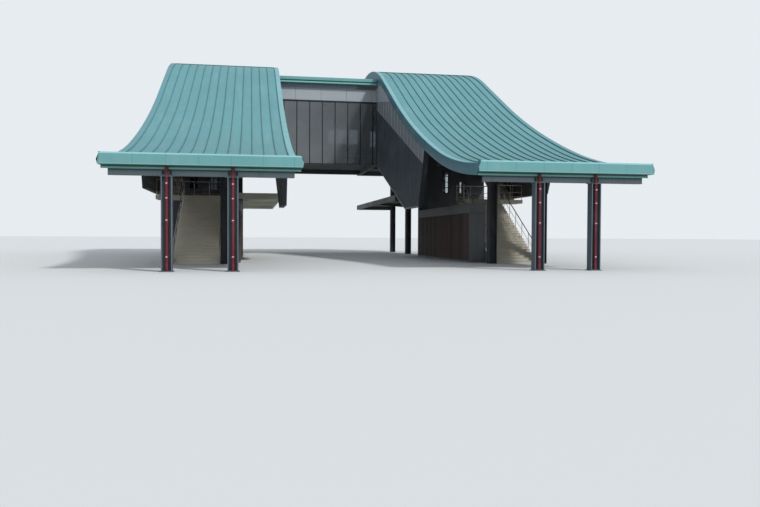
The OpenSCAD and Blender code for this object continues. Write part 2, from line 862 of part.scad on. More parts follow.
placed() eave_beam();  // right_eave_beam
placed() front_columns();  // right_front_columns
placed() rain_pipes();  // right_rain_pipes
placed() cross_beams();  // right_cross_beams
placed() inner_columns();  // right_inner_columns
placed() inner_wall();  // right_inner_wall
placed() doorway_wall();  // right_doorway_wall
placed() outer_wall();  // right_outer_wall
placed() rear_wall();  // right_rear_wall
placed() hall_floor();  // right_hall_floor
placed() stair_slab();  // right_stair_slab
placed() stair_steps();  // right_stair_steps
placed() stair_railings();  // right_stair_railings
placed() stone_wall();  // right_stone_wall
placed() back_wall();  // right_back_wall
placed() platform_canopy();  // right_platform_canopy
placed() battens();  // right_battens
placed() bridge_deck();
placed() bridge_front_glass();
placed() bridge_rear_glass();
placed() bridge_front_frame();
placed() bridge_rear_frame();
placed() bridge_roof();
union() {
    placed(-1) hall_window_glass();
    placed() hall_window_glass();
}
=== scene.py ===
"""Looks of the railway station building: two stair halls with ogee roofs, joined by a glazed bridge.

Pieces are worked out in station metres, as in the part's source: x across the tracks from the middle
of the bridge, y from the front eaves, z from the platform. A piece for a hall is worked out for the
right-hand one, and hall_piece() makes both.
"""
import math

import bmesh
import bpy
import numpy as np
from mathutils import Matrix, Vector


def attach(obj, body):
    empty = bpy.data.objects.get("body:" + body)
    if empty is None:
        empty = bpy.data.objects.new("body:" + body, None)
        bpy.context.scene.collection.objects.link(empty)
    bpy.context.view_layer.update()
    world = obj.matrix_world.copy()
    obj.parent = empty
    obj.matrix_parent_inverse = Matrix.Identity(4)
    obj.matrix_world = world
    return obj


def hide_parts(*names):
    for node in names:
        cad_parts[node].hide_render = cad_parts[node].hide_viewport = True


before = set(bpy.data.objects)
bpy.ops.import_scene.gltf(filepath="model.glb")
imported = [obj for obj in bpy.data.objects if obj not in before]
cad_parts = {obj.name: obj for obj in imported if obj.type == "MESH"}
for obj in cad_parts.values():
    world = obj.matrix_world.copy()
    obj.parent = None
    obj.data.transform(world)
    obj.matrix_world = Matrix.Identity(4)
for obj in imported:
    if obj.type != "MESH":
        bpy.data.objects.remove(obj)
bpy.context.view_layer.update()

# Sizes of the halls and their roofs
LENGTH, REAR_Y = 39.0, 38.92
EDGE_IN, EDGE_OUT = 3.84, 11.9
WALL_IN, WALL_OUT = 3.92, 11.82
ROOM_IN, ROOM_OUT = 4.17, 11.57
EAVE_Z, EAVE_SLOPE, STEEP = 4.66, math.radians(3.5), math.radians(26.4)
HOLLOW_R, UPPER_R, CREST_R = 35.6, 75.0, 17.2
ARC_Y, CREST_Y, RIDGE_Y = 8.0, 25.07, 29.09
VERGE_D, CAP_W, CAP_H, CUT = 0.5, 0.3, 0.06, 1.3
PANS, SEAM_W, SEAM_H = 13, 0.04, 0.045
SEAM_PITCH = (EDGE_OUT - EDGE_IN - 2 * CAP_W - SEAM_W) / PANS
RIB_D, DECK_T, RAFTER_D, BEAM_D, WALL_DEPTH = 0.06, 0.12, 0.35, 0.4, 0.49
FASCIA_TOP, CREASE_Z, FASCIA_Z, HEM_H = 4.81, 4.52, 4.32, 0.13
GUTTER_D, TROUGH_Y, TROUGH_Z, LIP_TOP, LIP_Z = 0.46, 0.23, 4.6, 4.265, 4.185
EAVE_BEAM_Z, EAVE_BEAM_Y, EAVE_BEAM_W, EAVE_INSET = 3.92, 0.465, 0.24, 0.28
COL_W, COL_D, FLANGE_T, WEB_T, BASE_T, PLATE_T = 0.44, 0.46, 0.04, 0.03, 0.03, 0.02
FRONT_COL_XS, FRONT_COL_Y = np.array([6.66, 9.31]), 0.25
PIPE_Y, PIPE_R, CLIP_ZS = 0.345, 0.07, np.array([0.58, 2.08, 2.98, 3.58])
WALL_FRONT_Y, WALL_RISE_Y, INNER_LOW, OUTER_LOW = 10.87, 16.5, 3.25, 4.1
COLOUR_Y, COLOUR_Z, COLOUR_SLOPE, COLOUR_TOP = 11.27, 5.584, 0.3533, 11.6
BAND_END_Y, BAND_FALL = 20.0, 0.163
FLOOR_Z, SKIRT_Z = 7.8, 7.15

# Sizes of the bridge, the stairs and the stone wall
BRIDGE_Y, BRIDGE_REAR_Y, OVERHANG = 27.9, 37.9, 0.5
GLASS_TOP, BAND_TOP, RECESS_TOP, BRIDGE_ROOF_TOP = 12.11, 13.06, 13.65, 13.83
STRIP_Z, STRIP_TOP = 9.9, 11.3
BACK_WINDOWS = (((8.27, 8.82), (4.75, 6.45), 4), ((9.64, 10.19), (4.75, 5.65), 2))
STAIR_IN, STAIR_OUT, UPPER_IN = 7.5, 9.95, 10.41
STAIR_Y, GOING, RISER, STEPS = 8.9, 0.268, 0.156, 25
LANDING_Y, UPPER_Y, FLOOR_Y, LANDING_Z = 15.6, 17.2, 23.9, 3.9
FOOT_BEAM_Y, FLOOR_ROWS = 8.6, (24.15, 31.18, 38.21)
RAIL_H, RAIL_R, KNEE_R = 0.95, 0.03, 0.013
PANEL_END_Y = 12.2
STONE_IN, STONE_OUT, STONE_Y, STONE_H = 6.5, 7.4, 10.6, 3.4
SLAB_W, SLAB_LOW, SLAB_TOP, JOINT = 0.6, 0.12, 2.84, 0.003


# Shapes: a part is (points, quads, ends), with ends the outlines that close it

def rows(*columns):
    """Points from columns of x, y and z, each a number or an array."""
    return np.stack(np.broadcast_arrays(*columns), -1).astype(float)


def places(xs, ys, zs):
    """Every point of a grid of coordinates."""
    return rows(*np.meshgrid(xs, ys, zs)).reshape(-1, 3)


def beside(x, gap):
    """Places at a gap to the left and the right of every x."""
    return np.add.outer(x, [-gap, gap]).ravel()


def skin(grid):
    """Quads round the rows of a (u, v, 3) grid of points and from row to row, with both end rows closed."""
    nu, nv = grid.shape[:2]
    i, j = np.arange(nu - 1)[:, None] * nv, np.arange(nv)[None, :]
    k = (j + 1) % nv
    quads = np.stack([i + j, i + nv + j, i + nv + k, i + k], -1).reshape(-1, 4)
    return grid.reshape(-1, 3), quads, [np.arange(nv), np.arange(nu * nv - nv, nu * nv)[::-1]]


def carry(profile, origin, across, up):
    """Closed profile of (a, b) put at origin + a * across + b * up for each place of a path."""
    profile, origin = np.asarray(profile, float), np.asarray(origin, float)
    across, up = np.broadcast_to(across, origin.shape), np.broadcast_to(up, origin.shape)
    return skin(origin[:, None] + profile[:, :1] * across[:, None] + profile[:, 1:] * up[:, None])


def bar(profile, axis, start, end):
    """Profile in the two other axes, in order, stretched straight along an axis from start to end."""
    unit = np.eye(3)
    a, b = [unit[i] for i in range(3) if i != axis]
    return carry(profile, [unit[axis] * start, unit[axis] * end], a, b)


def blocks(low, high):
    """Boxes between low and high corners, given as three columns: corner c takes high where c has its bit."""
    low, high = np.broadcast_arrays(np.atleast_2d(rows(*low)), np.atleast_2d(rows(*high)))
    pick = (np.arange(8)[:, None] >> np.arange(3)) & 1
    points = np.where(pick[None], high[:, None], low[:, None]).reshape(-1, 3)
    faces = np.array([[0, 2, 3, 1], [4, 5, 7, 6], [0, 1, 5, 4], [2, 6, 7, 3], [0, 4, 6, 2], [1, 3, 7, 5]])
    return points, (faces + 8 * np.arange(len(low))[:, None, None]).reshape(-1, 4), []


def join(*parts):
    """One part out of several, with the indices of each shifted by the points before it."""
    shifts = np.cumsum([0] + [len(p[0]) for p in parts])
    return (np.concatenate([p[0] for p in parts]),
            np.concatenate([p[1].reshape(-1, 4) + s for p, s in zip(parts, shifts)]).astype(int),
            [e + s for p, s in zip(parts, shifts) for e in p[2]])


def repeat(part, offsets):
    """Copies of a part, moved by each row of offsets."""
    return join(*[(part[0] + o, part[1], part[2]) for o in np.atleast_2d(offsets).astype(float)])


def circle(sides, a=1.0, b=None):
    """Points (a cos t, b sin t) for equal steps of t over a turn; b is a unless given."""
    t = np.linspace(0, 2 * np.pi, sides, endpoint=False)
    return rows(a * np.cos(t), (a if b is None else b) * np.sin(t))


def tube(path, radius, sides=12):
    """Round tube along a path: a circle at each point, square to the mean direction there."""
    path = np.asarray(path, float)
    step = np.diff(path, axis=0)
    step /= np.linalg.norm(step, axis=1)[:, None]
    way = np.vstack([step[:1], step[:-1] + step[1:], step[-1:]])
    way /= np.linalg.norm(way, axis=1)[:, None]
    side = np.cross(way, [0.0, 0.0, 1.0])
    flat = np.linalg.norm(side, axis=1) < 0.2
    side[flat] = np.cross(way[flat], [0.0, 1.0, 0.0]) if flat.any() else side[flat]
    side /= np.linalg.norm(side, axis=1)[:, None]
    radius = np.broadcast_to(radius, len(path))[:, None]
    return carry(circle(sides), path, side * radius, np.cross(side, way) * radius)


def prism(sides, radius, axis, length):
    """Round or many-sided bar from the origin along an axis."""
    return bar(circle(sides, radius), axis, 0.0, length)


def bolt_heads(spots, axis, radius=0.016, height=0.014):
    """Six-sided bolt heads at rows of spots, standing out along an axis."""
    return repeat(prism(6, radius, axis, height), spots)


def i_section(width, depth, flange, web, root):
    """Outline of a rolled I beam in (a, b): two flanges, a web between them, and a quarter circle of radius
    root in each corner."""
    t = np.linspace(0, np.pi / 2, 4)
    x, y = web / 2 + root, depth / 2 - flange - root
    corner = rows(x - root * np.cos(t), y + root * np.sin(t))
    quarter = np.vstack([corner, [[width / 2, depth / 2 - flange], [width / 2, depth / 2]]])
    upper = np.vstack([quarter, quarter[::-1] * [-1, 1]])
    return np.vstack([upper, upper[::-1] * [1, -1]])


SINE_EAVE, SINE_STEEP = math.sin(EAVE_SLOPE), math.sin(STEEP)
SINES = [SINE_EAVE, SINE_EAVE + ARC_Y / HOLLOW_R, SINE_STEEP, SINE_STEEP, 0.0]
TURNS = [0.0, ARC_Y, ARC_Y + (SINES[2] - SINES[1]) * UPPER_R, CREST_Y, CREST_Y + SINE_STEEP * CREST_R]


def slope(y):
    """Sine and cosine of the roof's slope at station y; along an arc the sine grows by y over the radius."""
    sine = np.interp(y, TURNS, SINES)
    return sine, np.sqrt(1 - sine ** 2)


def ogee(y):
    """Height, sine and cosine of the roof at station y: two hollow arcs, a straight stretch, a rounded crest
    and a level top. Along an arc the height changes by the radius times the change of the cosine."""
    height = EAVE_Z + (np.clip(y, *TURNS[2:4]) - TURNS[2]) * math.tan(STEEP)
    for k, radius in ((0, HOLLOW_R), (1, UPPER_R), (3, -CREST_R)):
        height = height + radius * (slope(TURNS[k])[1] - slope(np.clip(y, *TURNS[k:k + 2]))[1])
    return height, *slope(y)


def along_roof(profile, y):
    """Closed profile of (x, height above the roof), square to the roof at each station y."""
    z, sine, cosine = ogee(y)
    return carry(profile, rows(0, y, z), [1, 0, 0], rows(0, -sine, cosine))


def under_roof(y, depth):
    """Height at y of the curve that lies depth below the roof: eight rounds of y - depth * sine find the
    roof point whose downward normal ends at y."""
    u = y
    for _ in range(8):
        u = y - depth * slope(u)[0]
    z, _, cosine = ogee(u)
    return z - depth * cosine


def roof_cuts(y_a, y_b, pitch, gap):
    """Start and end stations of equal lengths along the roof's curve, with a gap between them."""
    y = np.linspace(y_a, y_b, 800)
    run = np.concatenate([[0], np.cumsum(np.diff(y) / slope((y[1:] + y[:-1]) / 2)[1])])
    ends = np.linspace(0, run[-1], round(run[-1] / pitch) + 1)
    return list(zip(np.interp(ends[:-1] + gap / 2, run, y), np.interp(ends[1:] - gap / 2, run, y)))


# Pieces

def make_mesh(name, part):
    """Mesh of a part in the frame's metres, faces turned outwards, edges over 32 degrees sharp."""
    points, quads, ends = part
    mesh = bpy.data.meshes.new(name)
    mesh.from_pydata((points - [0, LENGTH / 2, 0]).tolist(), [], quads.tolist() + [e.tolist() for e in ends])
    bm = bmesh.new()
    bm.from_mesh(mesh)
    bmesh.ops.recalc_face_normals(bm, faces=bm.faces)
    bm.to_mesh(mesh)
    bm.free()
    mesh.polygons.foreach_set("use_smooth", np.ones(len(mesh.polygons), bool))
    mesh.set_sharp_from_angle(angle=math.radians(32))
    mesh.update()
    return mesh


def add_object(name, data):
    """Object in the scene."""
    obj = bpy.data.objects.new(name, data)
    bpy.context.scene.collection.objects.link(obj)
    return obj


def piece(name, part, finish, stands_for=(), bevel=0.0):
    """Object of a part in a finish, on the building's one body; bevel rounds its edges."""
    obj = add_object(name, make_mesh(name, part))
    obj.data.materials.append(finish.material)
    if bevel:
        edge = obj.modifiers.new("edges", "BEVEL")
        edge.width, edge.segments, edge.limit_method = bevel, 2, "ANGLE"
        edge.angle_limit = math.radians(40)
    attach(obj, "root")
    if stands_for:
        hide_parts(*stands_for)


def hall_piece(name, part, finish, stands_for=(), bevel=0.0):
    """The piece in both halls, the left one with its x turned round; two finishes are left and right."""
    finishes = finish if isinstance(finish, tuple) else (finish, finish)
    for side, sign, look in (("left", -1, finishes[0]), ("right", 1, finishes[1])):
        turned = (part[0] * [sign, 1, 1], part[1], part[2])
        piece(f"{side}_{name}", turned, look, [f"{side}_{n}" for n in stands_for], bevel)


def in_halls(finish, stands_for=(), bevel=0.0):
    """Decorator: the part of a function becomes the hall piece of the function's name."""
    return lambda shape: hall_piece(shape.__name__, shape(), finish, stands_for, bevel)


# Finishes

def linear(colour, k=1.0):
    """Linear colour times k, of a display colour in parts of 255; one of four parts is linear already."""
    if len(colour) == 4:
        return colour
    c = np.array(colour) / 255
    return (*(np.where(c <= 0.04045, c / 12.92, ((c + 0.055) / 1.055) ** 2.4) * k), 1.0)


def add_node(tree, kind, values, out=0, **settings):
    """Adds a node, sets or links its inputs by name or number, and gives one output."""
    node = tree.nodes.new("ShaderNode" + kind)
    for key, value in settings.items():
        setattr(node, key, value)
    for key, value in values.items():
        if isinstance(value, bpy.types.NodeSocket):
            tree.links.new(value, node.inputs[key])
        else:
            node.inputs[key].default_value = value
    return node.outputs[out]


class Finish:
    """A Principled material, with short calls for the nodes that vary it by Object coordinates."""

    def __init__(self, name, colour, roughness, **sockets):
        """Plain material; sockets are more of the shader's inputs, by name with _ for blanks."""
        self.material = bpy.data.materials.new(name)
        self.material.use_nodes = True
        self.tree = self.material.node_tree
        self.shader = self.tree.nodes["Principled BSDF"]
        self.place = self.node("TexCoord", {}, "Object")
        self.colour, self.height = linear(colour), None
        self.shader.inputs["Base Color"].default_value = self.colour
        self.shader.inputs["Roughness"].default_value = roughness
        for key, value in sockets.items():
            self.shader.inputs[key.replace("_", " ")].default_value = value

    def node(self, *what, **settings):
        """A node of this material, as add_node makes it."""
        return add_node(self.tree, *what, **settings)

    def into(self, value, socket):
        """Links a value into the shader and gives the finish back."""
        self.tree.links.new(value, self.shader.inputs[socket])
        return self

    def math(self, operation, a, b=0.0, c=0.0):
        """Result of an operation on up to three values."""
        return self.node("Math", {0: a, 1: b, 2: c}, operation=operation)

    def axis(self, name):
        """One Object coordinate: Y is the station less half of the length."""
        return self.node("SeparateXYZ", {0: self.place}, name)

    def off_middle(self):
        """Distance from the middle of the bridge, the same in both halls."""
        return self.math("ABSOLUTE", self.axis("X"))

    def noise(self, scale, stretch=(1, 1, 1), detail=3.0):
        """Cloudy value near 0.5; stretch is how much faster it changes along each axis."""
        place = self.node("Mapping", {"Vector": self.place, "Scale": stretch})
        return self.node("TexNoise", {"Vector": place, "Scale": scale, "Detail": detail}, "Fac")

    def own(self, along, start, pitch):
        """Random value of each length of a pitch."""
        count = self.math("FLOOR", self.math("DIVIDE", self.math("SUBTRACT", along, start), pitch))
        return self.node("TexWhiteNoise", {"W": count}, 0, noise_dimensions="1D")

    def spread(self, value, low, high, to_low=0.0, to_high=1.0):
        """Value taken from low..high to to_low..to_high, and held there outside it."""
        return self.node("MapRange", {0: value, 1: low, 2: high, 3: to_low, 4: to_high})

    def joints(self, value, pitch, width, start=0.0):
        """1 on lines of a width at every pitch of value, 0 between them."""
        away = self.math("PINGPONG", self.math("SUBTRACT", value, start), pitch / 2)
        return self.spread(away, width * 0.35, width * 0.65, 1.0, 0.0)

    def shade(self, mask, colour, amount=1.0):
        """Mixes a colour over what the finish has so far, by a mask of 0 to 1 times an amount."""
        if amount != 1.0:
            mask = self.math("MULTIPLY", mask, amount)
        self.colour = self.node("Mix", {0: mask, 6: self.colour, 7: linear(colour)}, 2, data_type="RGBA")
        return self.into(self.colour, "Base Color")

    def tint(self, value, low, high, amount, colour):
        """Shades from none where a value is low to the amount where it is high."""
        return self.shade(self.spread(value, low, high, 0.0, amount), colour)

    def rough(self, value, low, high):
        """Lets the roughness go from low to high with a cloudy value."""
        return self.into(self.spread(value, 0.3, 0.7, low, high), "Roughness")

    def raised(self, height, distance, strength=1.0):
        """Adds relief: height of 0 to 1 stands for that distance in metres."""
        values = {"Strength": strength, "Distance": distance, "Height": height}
        if self.height is not None:
            values["Normal"] = self.height
        self.height = self.node("Bump", values)
        return self.into(self.height, "Normal")


def sheet_metal(name, colour, rough=0.42, streaks=0.25, waves=0.002):
    """Coil-coated sheet: soft clouds of fading, fine streaks of dust down the slope, slow waves."""
    f = Finish(name, colour, rough)
    f.tint(f.noise(0.35, detail=4.0), 0.38, 0.66, 0.5, linear(colour, 0.86))
    dust = f.noise(2.2, (1.0, 0.12, 0.25), 5.0)
    f.tint(dust, 0.5, 0.75, streaks, (176, 190, 184)).rough(dust, rough - 0.07, rough + 0.12)
    f.raised(f.noise(1.1, (1.0, 0.5, 0.7), 1.0), waves, 0.6)
    return f.raised(f.noise(120.0), 0.0004, 0.25)


def pan_sheet():
    """Roof pans: each pan has its own slight tone, faint laps cross them, and the low ends are darker."""
    f = sheet_metal("roof_pans", (94, 158, 164), 0.44, 0.24, 0.004)
    f.tint(f.axis("Y"), 12.0 - LENGTH / 2, 3.0 - LENGTH / 2, 0.4, (84, 132, 138))
    f.shade(f.own(f.off_middle(), EDGE_IN + CAP_W, SEAM_PITCH), (88, 144, 152), 0.22)
    lap = f.joints(f.axis("Y"), 5.6, 0.03, 1.1)
    return f.shade(lap, (60, 108, 106), 0.35).raised(lap, 0.003, 0.5)


def jointed_sheet(name, colour, along, pitch, start=0.0, depth=0.75):
    """Sheet with thin dark upright joints at each pitch; along gives their direction."""
    f = sheet_metal(name, colour, 0.5, 0.12, 0.0015)
    joint = f.joints(along(f), pitch, 0.022, start)
    return f.shade(joint, linear(colour, 0.28), depth).raised(joint, -0.003, 0.6)


def verge_sheet():
    """Caps of the verges with a joint at each length, in painted highlight that is weaker on the street side.
    """
    f = jointed_sheet("verge_tops", (130, 184, 190), lambda f: f.axis("Y"), CUT)
    return f.shade(f.math("GREATER_THAN", f.off_middle(), (EDGE_IN + EDGE_OUT) / 2), (88, 142, 150), 0.75)


def seam_sheet():
    """Folded seams in painted shade: dark, and paler towards the street side of the left hall and its eaves.
    """
    f = sheet_metal("roof_seams", (58, 112, 110), 0.5, 0.1)
    side = f.spread(f.axis("X"), -11.6, -7.5, 0.75, 0.0)
    low = f.spread(f.axis("Y"), 14.0 - LENGTH / 2, 24.0 - LENGTH / 2, 1.0, 0.35)
    return f.shade(f.math("MULTIPLY", side, low), (88, 144, 150))


def front_fascia():
    """Front fascia: jointed sheet with painted highlights on the hems along its top and its foot."""
    f = jointed_sheet("front_fascia", (112, 172, 174), Finish.off_middle, 1.29, 4.15, 0.4)
    # Pale bands along the two hems: painted highlight.
    for height, half, amount, colour in ((FASCIA_TOP - 0.035, 0.045, 0.55, (158, 214, 218)),
                                         (FASCIA_Z + 0.012, 0.026, 0.7, (136, 186, 182))):
        f.shade(f.math("COMPARE", f.axis("Z"), height, half), colour, amount)
    return f


def paint(name, colour, rough=0.45, chalk=0.2):
    """Painted steel: chalky patches, faint runs and an orange-peel surface."""
    f = Finish(name, colour, rough)
    cloud = f.noise(1.6, (1.0, 1.0, 0.4), 5.0)
    f.tint(cloud, 0.52, 0.72, chalk, (150, 156, 160))
    f.tint(f.noise(6.0, (1, 1, 0.15), 4.0), 0.5, 0.8, 0.35, linear(colour, 0.55))
    return f.rough(cloud, rough - 0.08, rough + 0.15).raised(f.noise(90.0), 0.0006, 0.3)


def liner():
    """Liner trays inside the walls: painted sheet with a level joint every half metre."""
    f = paint("wall_liner", (96, 98, 102), 0.6, 0.15)
    joint = f.joints(f.axis("Z"), 0.5, 0.03)
    return f.shade(joint, (150, 152, 156), 0.5).raised(joint, -0.004, 0.6)


def beam_paint():
    """Paint of the eave beams, with painted shade that grows towards the gutter, darkest in a strip under its
    lip.
    """
    f = paint("eave_beam_paint", (129, 147, 156), 0.5)
    # Both tints are painted shade under the gutter and its lip.
    f.tint(f.axis("Z"), EAVE_BEAM_Z + 0.06, EAVE_BEAM_Z + 0.2, 0.4, (66, 80, 88))
    return f.tint(f.axis("Z"), EAVE_BEAM_Z + 0.18, EAVE_BEAM_Z + 0.22, 0.75, (30, 52, 58))


def post_paint():
    """Paint of the front columns, with a painted highlight on the front edges of the flanges."""
    f, edge = paint("slate_paint", (88, 104, 116), 0.42), FRONT_COL_Y - LENGTH / 2
    return f.tint(f.axis("Y"), edge + 0.012, edge + 0.004, 0.25, (124, 140, 150))


def colour_line(y):
    """Height at station y of the line between the two colours of the side walls."""
    return COLOUR_Z + COLOUR_SLOPE * (y - WALL_FRONT_Y)


def cladding(name, dark, light=None):
    """Ribbed sheet of a wall: dark, or dark below a rising line and streaked light above it."""
    f = sheet_metal(name, dark, 0.5, 0.12, 0.002)
    if light:
        line = f.math("MULTIPLY_ADD", f.axis("Y"), COLOUR_SLOPE, colour_line(LENGTH / 2))
        line = f.math("MINIMUM", line, COLOUR_TOP)
        above = f.spread(f.math("SUBTRACT", f.axis("Z"), line), -0.01, 0.01)
        streaks = f.spread(f.noise(1.4, (1, 1, 0.1), 4.0), 0.45, 0.75, 0.0, 0.4)
        f.shade(above, light).shade(f.math("MULTIPLY", above, streaks), linear(light, 0.7))
    return f


def stone():
    """Honed stone slabs: every slab has its own brown or pink, with soft veins and fine grain."""
    f = Finish("stone_slabs", (92, 82, 79), 0.7, Specular_IOR_Level=0.2)
    own = f.own(f.axis("Y"), STONE_Y - LENGTH / 2, SLAB_W)
    f.tint(own, 0.25, 0.75, 1.0, (100, 74, 68))
    f.shade(f.math("GREATER_THAN", own, 0.72), (72, 62, 60), 0.8)
    vein = f.noise(3.5, (1, 1, 0.35), 8.0)
    f.tint(vein, 0.5, 0.62, 0.45, (108, 97, 92)).tint(f.noise(60.0), 0.45, 0.7, 0.4, (54, 45, 41))
    return f.rough(vein, 0.65, 0.85).raised(f.noise(80.0), 0.0005, 0.3)


def concrete(name, colour, rough=0.75):
    """Smooth concrete: cloudy grey, small pores, and rain stains that run down."""
    f = Finish(name, colour, rough)
    f.tint(f.noise(0.9, detail=6.0), 0.4, 0.65, 0.5, linear(colour, 0.8))
    f.tint(f.noise(3.0, (1, 1, 0.12), 4.0), 0.52, 0.75, 0.35, linear(colour, 0.62))
    pores = f.noise(45.0, detail=5.0)
    return f.tint(pores, 0.62, 0.74, 0.5, linear(colour, 0.55)).raised(pores, 0.0015, 0.35)


def stair_concrete():
    """Concrete of the stairs, with painted light that makes it paler in the left hall, most of all at the
    foot.
    """
    f = concrete("stair_concrete", (200, 194, 178))
    left, foot = f.math("LESS_THAN", f.axis("X"), 0.0), f.spread(f.axis("Z"), 0.0, 2.4, 0.9, 0.35)
    return f.shade(f.math("MULTIPLY", left, foot), (238, 230, 212))


def glass(name, colour, rough):
    """Coated glass: mostly see-through, with a faint film of dust."""
    f = Finish(name, colour, rough, Transmission_Weight=0.9, IOR=1.5, Alpha=1.0)
    f.tint(f.noise(0.5, detail=4.0), 0.4, 0.7, 0.4, linear(colour, 1.1))
    return f.rough(f.noise(3.0), rough, rough + 0.06)


def glass_with_painted_reflection():
    """Glass of the bridge, less clear where a pale painted reflection grows to the left and towards its foot.
    """
    f = glass("bridge_glass", (150, 158, 164), 0.05)
    left, foot = f.spread(f.axis("X"), -3.4, 2.4, 0.78, 0.2), f.spread(f.axis("Z"), 7.2, 11.0, 0.22, 0.0)
    clouds = f.spread(f.noise(0.9, detail=3.0), 0.3, 0.7, 0.85, 1.1)
    painted_reflection = f.math("MULTIPLY", f.math("ADD", left, foot), clouds)
    f.tint(painted_reflection, 0.0, 1.0, 1.0, (130, 136, 139))
    return f.into(f.spread(painted_reflection, 0.0, 1.0, 0.93, 0.15), "Transmission Weight")


def window_glass():
    """Clear glass, dark in the left hall; over the floor only clear at the heights of the rear strip."""
    f = glass("window_glass", (190, 198, 200), 0.03)
    f.shade(f.math("LESS_THAN", f.axis("X"), -ROOM_IN), (52, 58, 62))
    middle, half = (STRIP_Z + STRIP_TOP) / 2, (STRIP_TOP - STRIP_Z) / 2
    away = f.math("SUBTRACT", 1.0, f.math("COMPARE", f.axis("Z"), middle, half))
    shut = f.math("MULTIPLY", away, f.math("GREATER_THAN", f.axis("Z"), FLOOR_Z))
    f.shade(shut, (54, 60, 64))
    return f.into(f.spread(shut, 0.0, 1.0, 0.9, 0.0), "Transmission Weight")


ROOF_PANS = pan_sheet()
PAINTED_SHADE_SEAMS = seam_sheet()
VERGE_TOP_PAINTED_HIGHLIGHT = verge_sheet()
VERGE_SIDE = sheet_metal("verge_sides", (74, 126, 142))
FASCIA = front_fascia()
LIP = sheet_metal("fascia_lip", (136, 210, 200))
# Darker teal of the fascias' recesses: painted shade.
PAINTED_SHADE_RECESS = sheet_metal("fascia_recess", (62, 120, 114), 0.6, 0.05)
DARK_GAP = paint("joint_backing", (22, 34, 36), 0.7, 0.05)
TROUGH = paint("gutter_lining", (110, 118, 120), 0.5, 0.4)
DECKING = paint("roof_decking", (70, 74, 78), 0.55, 0.1)
BEAM = beam_paint()
RECESS_GREY = paint("facade_boards", (158, 170, 186), 0.55, 0.1)
DARK_STEEL = paint("dark_paint", (44, 50, 58), 0.5)
PIPE = paint("red_paint", (108, 34, 40), 0.42, 0.08)
CLIP = paint("lock_plates", (226, 206, 208), 0.4)
CLAD_ZONED = cladding("zoned_cladding", (62, 70, 80), (132, 138, 144))
CLAD_BATTENS = cladding("batten_cladding", (86, 94, 106), (176, 182, 188))
CLAD_PLAIN = cladding("plain_cladding", (62, 66, 74))
LINER = liner()
BAND = jointed_sheet("band_panels", (174, 182, 187), lambda f: f.axis("X"), 2.0, -0.5, 0.6)
FRONT_STEEL = post_paint()
TRIM = paint("light_trim", (132, 138, 142), 0.4)
CONCRETE = stair_concrete()
# Concrete darkened with painted shade for the floors seen from below.
SOFFIT_PAINTED_SHADE = concrete("floor_concrete_painted_shade", (84, 90, 98))
STONE = stone()
PALE_STONE = concrete("pale_slabs", (112, 116, 119), 0.6)
STAINLESS = Finish("stainless_rails", (214, 208, 194), 0.35, Metallic=0.55)
STAINLESS.rough(STAINLESS.noise(30.0, (1, 1, 8)), 0.22, 0.4)
# One canopy sheet in two copies: paler with painted light on the left, darker with painted shade on the
# right.
CANOPY_PAINTED_LIGHT = sheet_metal("canopy_sheet", (228, 230, 218), 0.5)
CANOPY_PAINTED_SHADE = sheet_metal("canopy_sheet_painted_shade", (66, 74, 71), 0.5, 0.08)
GASKET = paint("gaskets", (24, 26, 28), 0.6, 0.02)
GLASS = glass_with_painted_reflection()
CLEAR_GLASS = window_glass()

# Roofs

STATIONS = np.linspace(0.405, REAR_Y, 156)
SEAM_XS = EDGE_IN + CAP_W + np.arange(PANS + 1) * SEAM_PITCH
SHEET_FOOT = [[WALL_OUT, -0.03], [WALL_IN, -0.03]]


@in_halls(ROOF_PANS, ["roof"])
def roof_sheet():
    """Thin roof sheet: its top rises by a sine of 4 mm over each pan."""
    t = np.linspace(0, 1, 6)
    x = SEAM_XS[:-1, None] + SEAM_W + (SEAM_PITCH - SEAM_W) * t
    top = rows(x, 0.004 * np.sin(np.pi * t)).reshape(-1, 2)
    return along_roof(np.vstack([[[WALL_IN, 0.0]], top, [[WALL_OUT, 0.0]], SHEET_FOOT]), STATIONS)


@in_halls(PAINTED_SHADE_SEAMS)
def roof_seams():
    """Standing seams: an upright leg under a folded head, along each joint of the pans."""
    half = np.array([[0.012, 0.03], [0.004, 0.032], [0.003, 0.042], [0.007, SEAM_H]])
    half = np.vstack([[[0.002, -0.004], [0.01, 0.006]], half])
    outline = np.vstack([half, (half * [-1, 1] + [SEAM_W, 0])[::-1]])
    return join(*[along_roof(outline + [x, 0], STATIONS) for x in SEAM_XS])


@in_halls(DECKING)
def roof_decking():
    """Steel decking under the sheet: trapezoid ribs 0.26 m apart."""
    x = np.linspace(WALL_IN, WALL_OUT, 31)
    rib = np.array([[0.0, -RIB_D], [0.3, -RIB_D], [0.38, -DECK_T], [0.82, -DECK_T], [0.9, -RIB_D]])
    low = [rib * [x[1] - x[0], 1] + [a, 0] for a in x[:-1]]
    return along_roof(np.vstack(low + [[[WALL_OUT, -RIB_D]], SHEET_FOOT]), STATIONS[::2])


# The capping takes the seams' finish, whose dark colour is painted shade.
@in_halls(PAINTED_SHADE_SEAMS)
def ridge_capping():
    """Capping across the pans behind the crest: an upstand with a flat top and a folded front."""
    y = RIDGE_Y + np.array([-0.23, -0.21, -0.09, 0.06, 0.21, 0.23])
    rise = np.array([0.046, 0.052, 0.058, 0.06, 0.056, 0.046])
    z, sine, cosine = ogee(y)
    a, b, foot, top = EDGE_IN + CAP_W, EDGE_OUT - CAP_W, (y, z), (y - rise * sine, z + rise * cosine)
    return skin(np.stack([rows(a, *foot), rows(b, *foot), rows(b, *top), rows(a, *top)], 1))


CUTS = roof_cuts(GUTTER_D, LENGTH, CUT, 0.008)


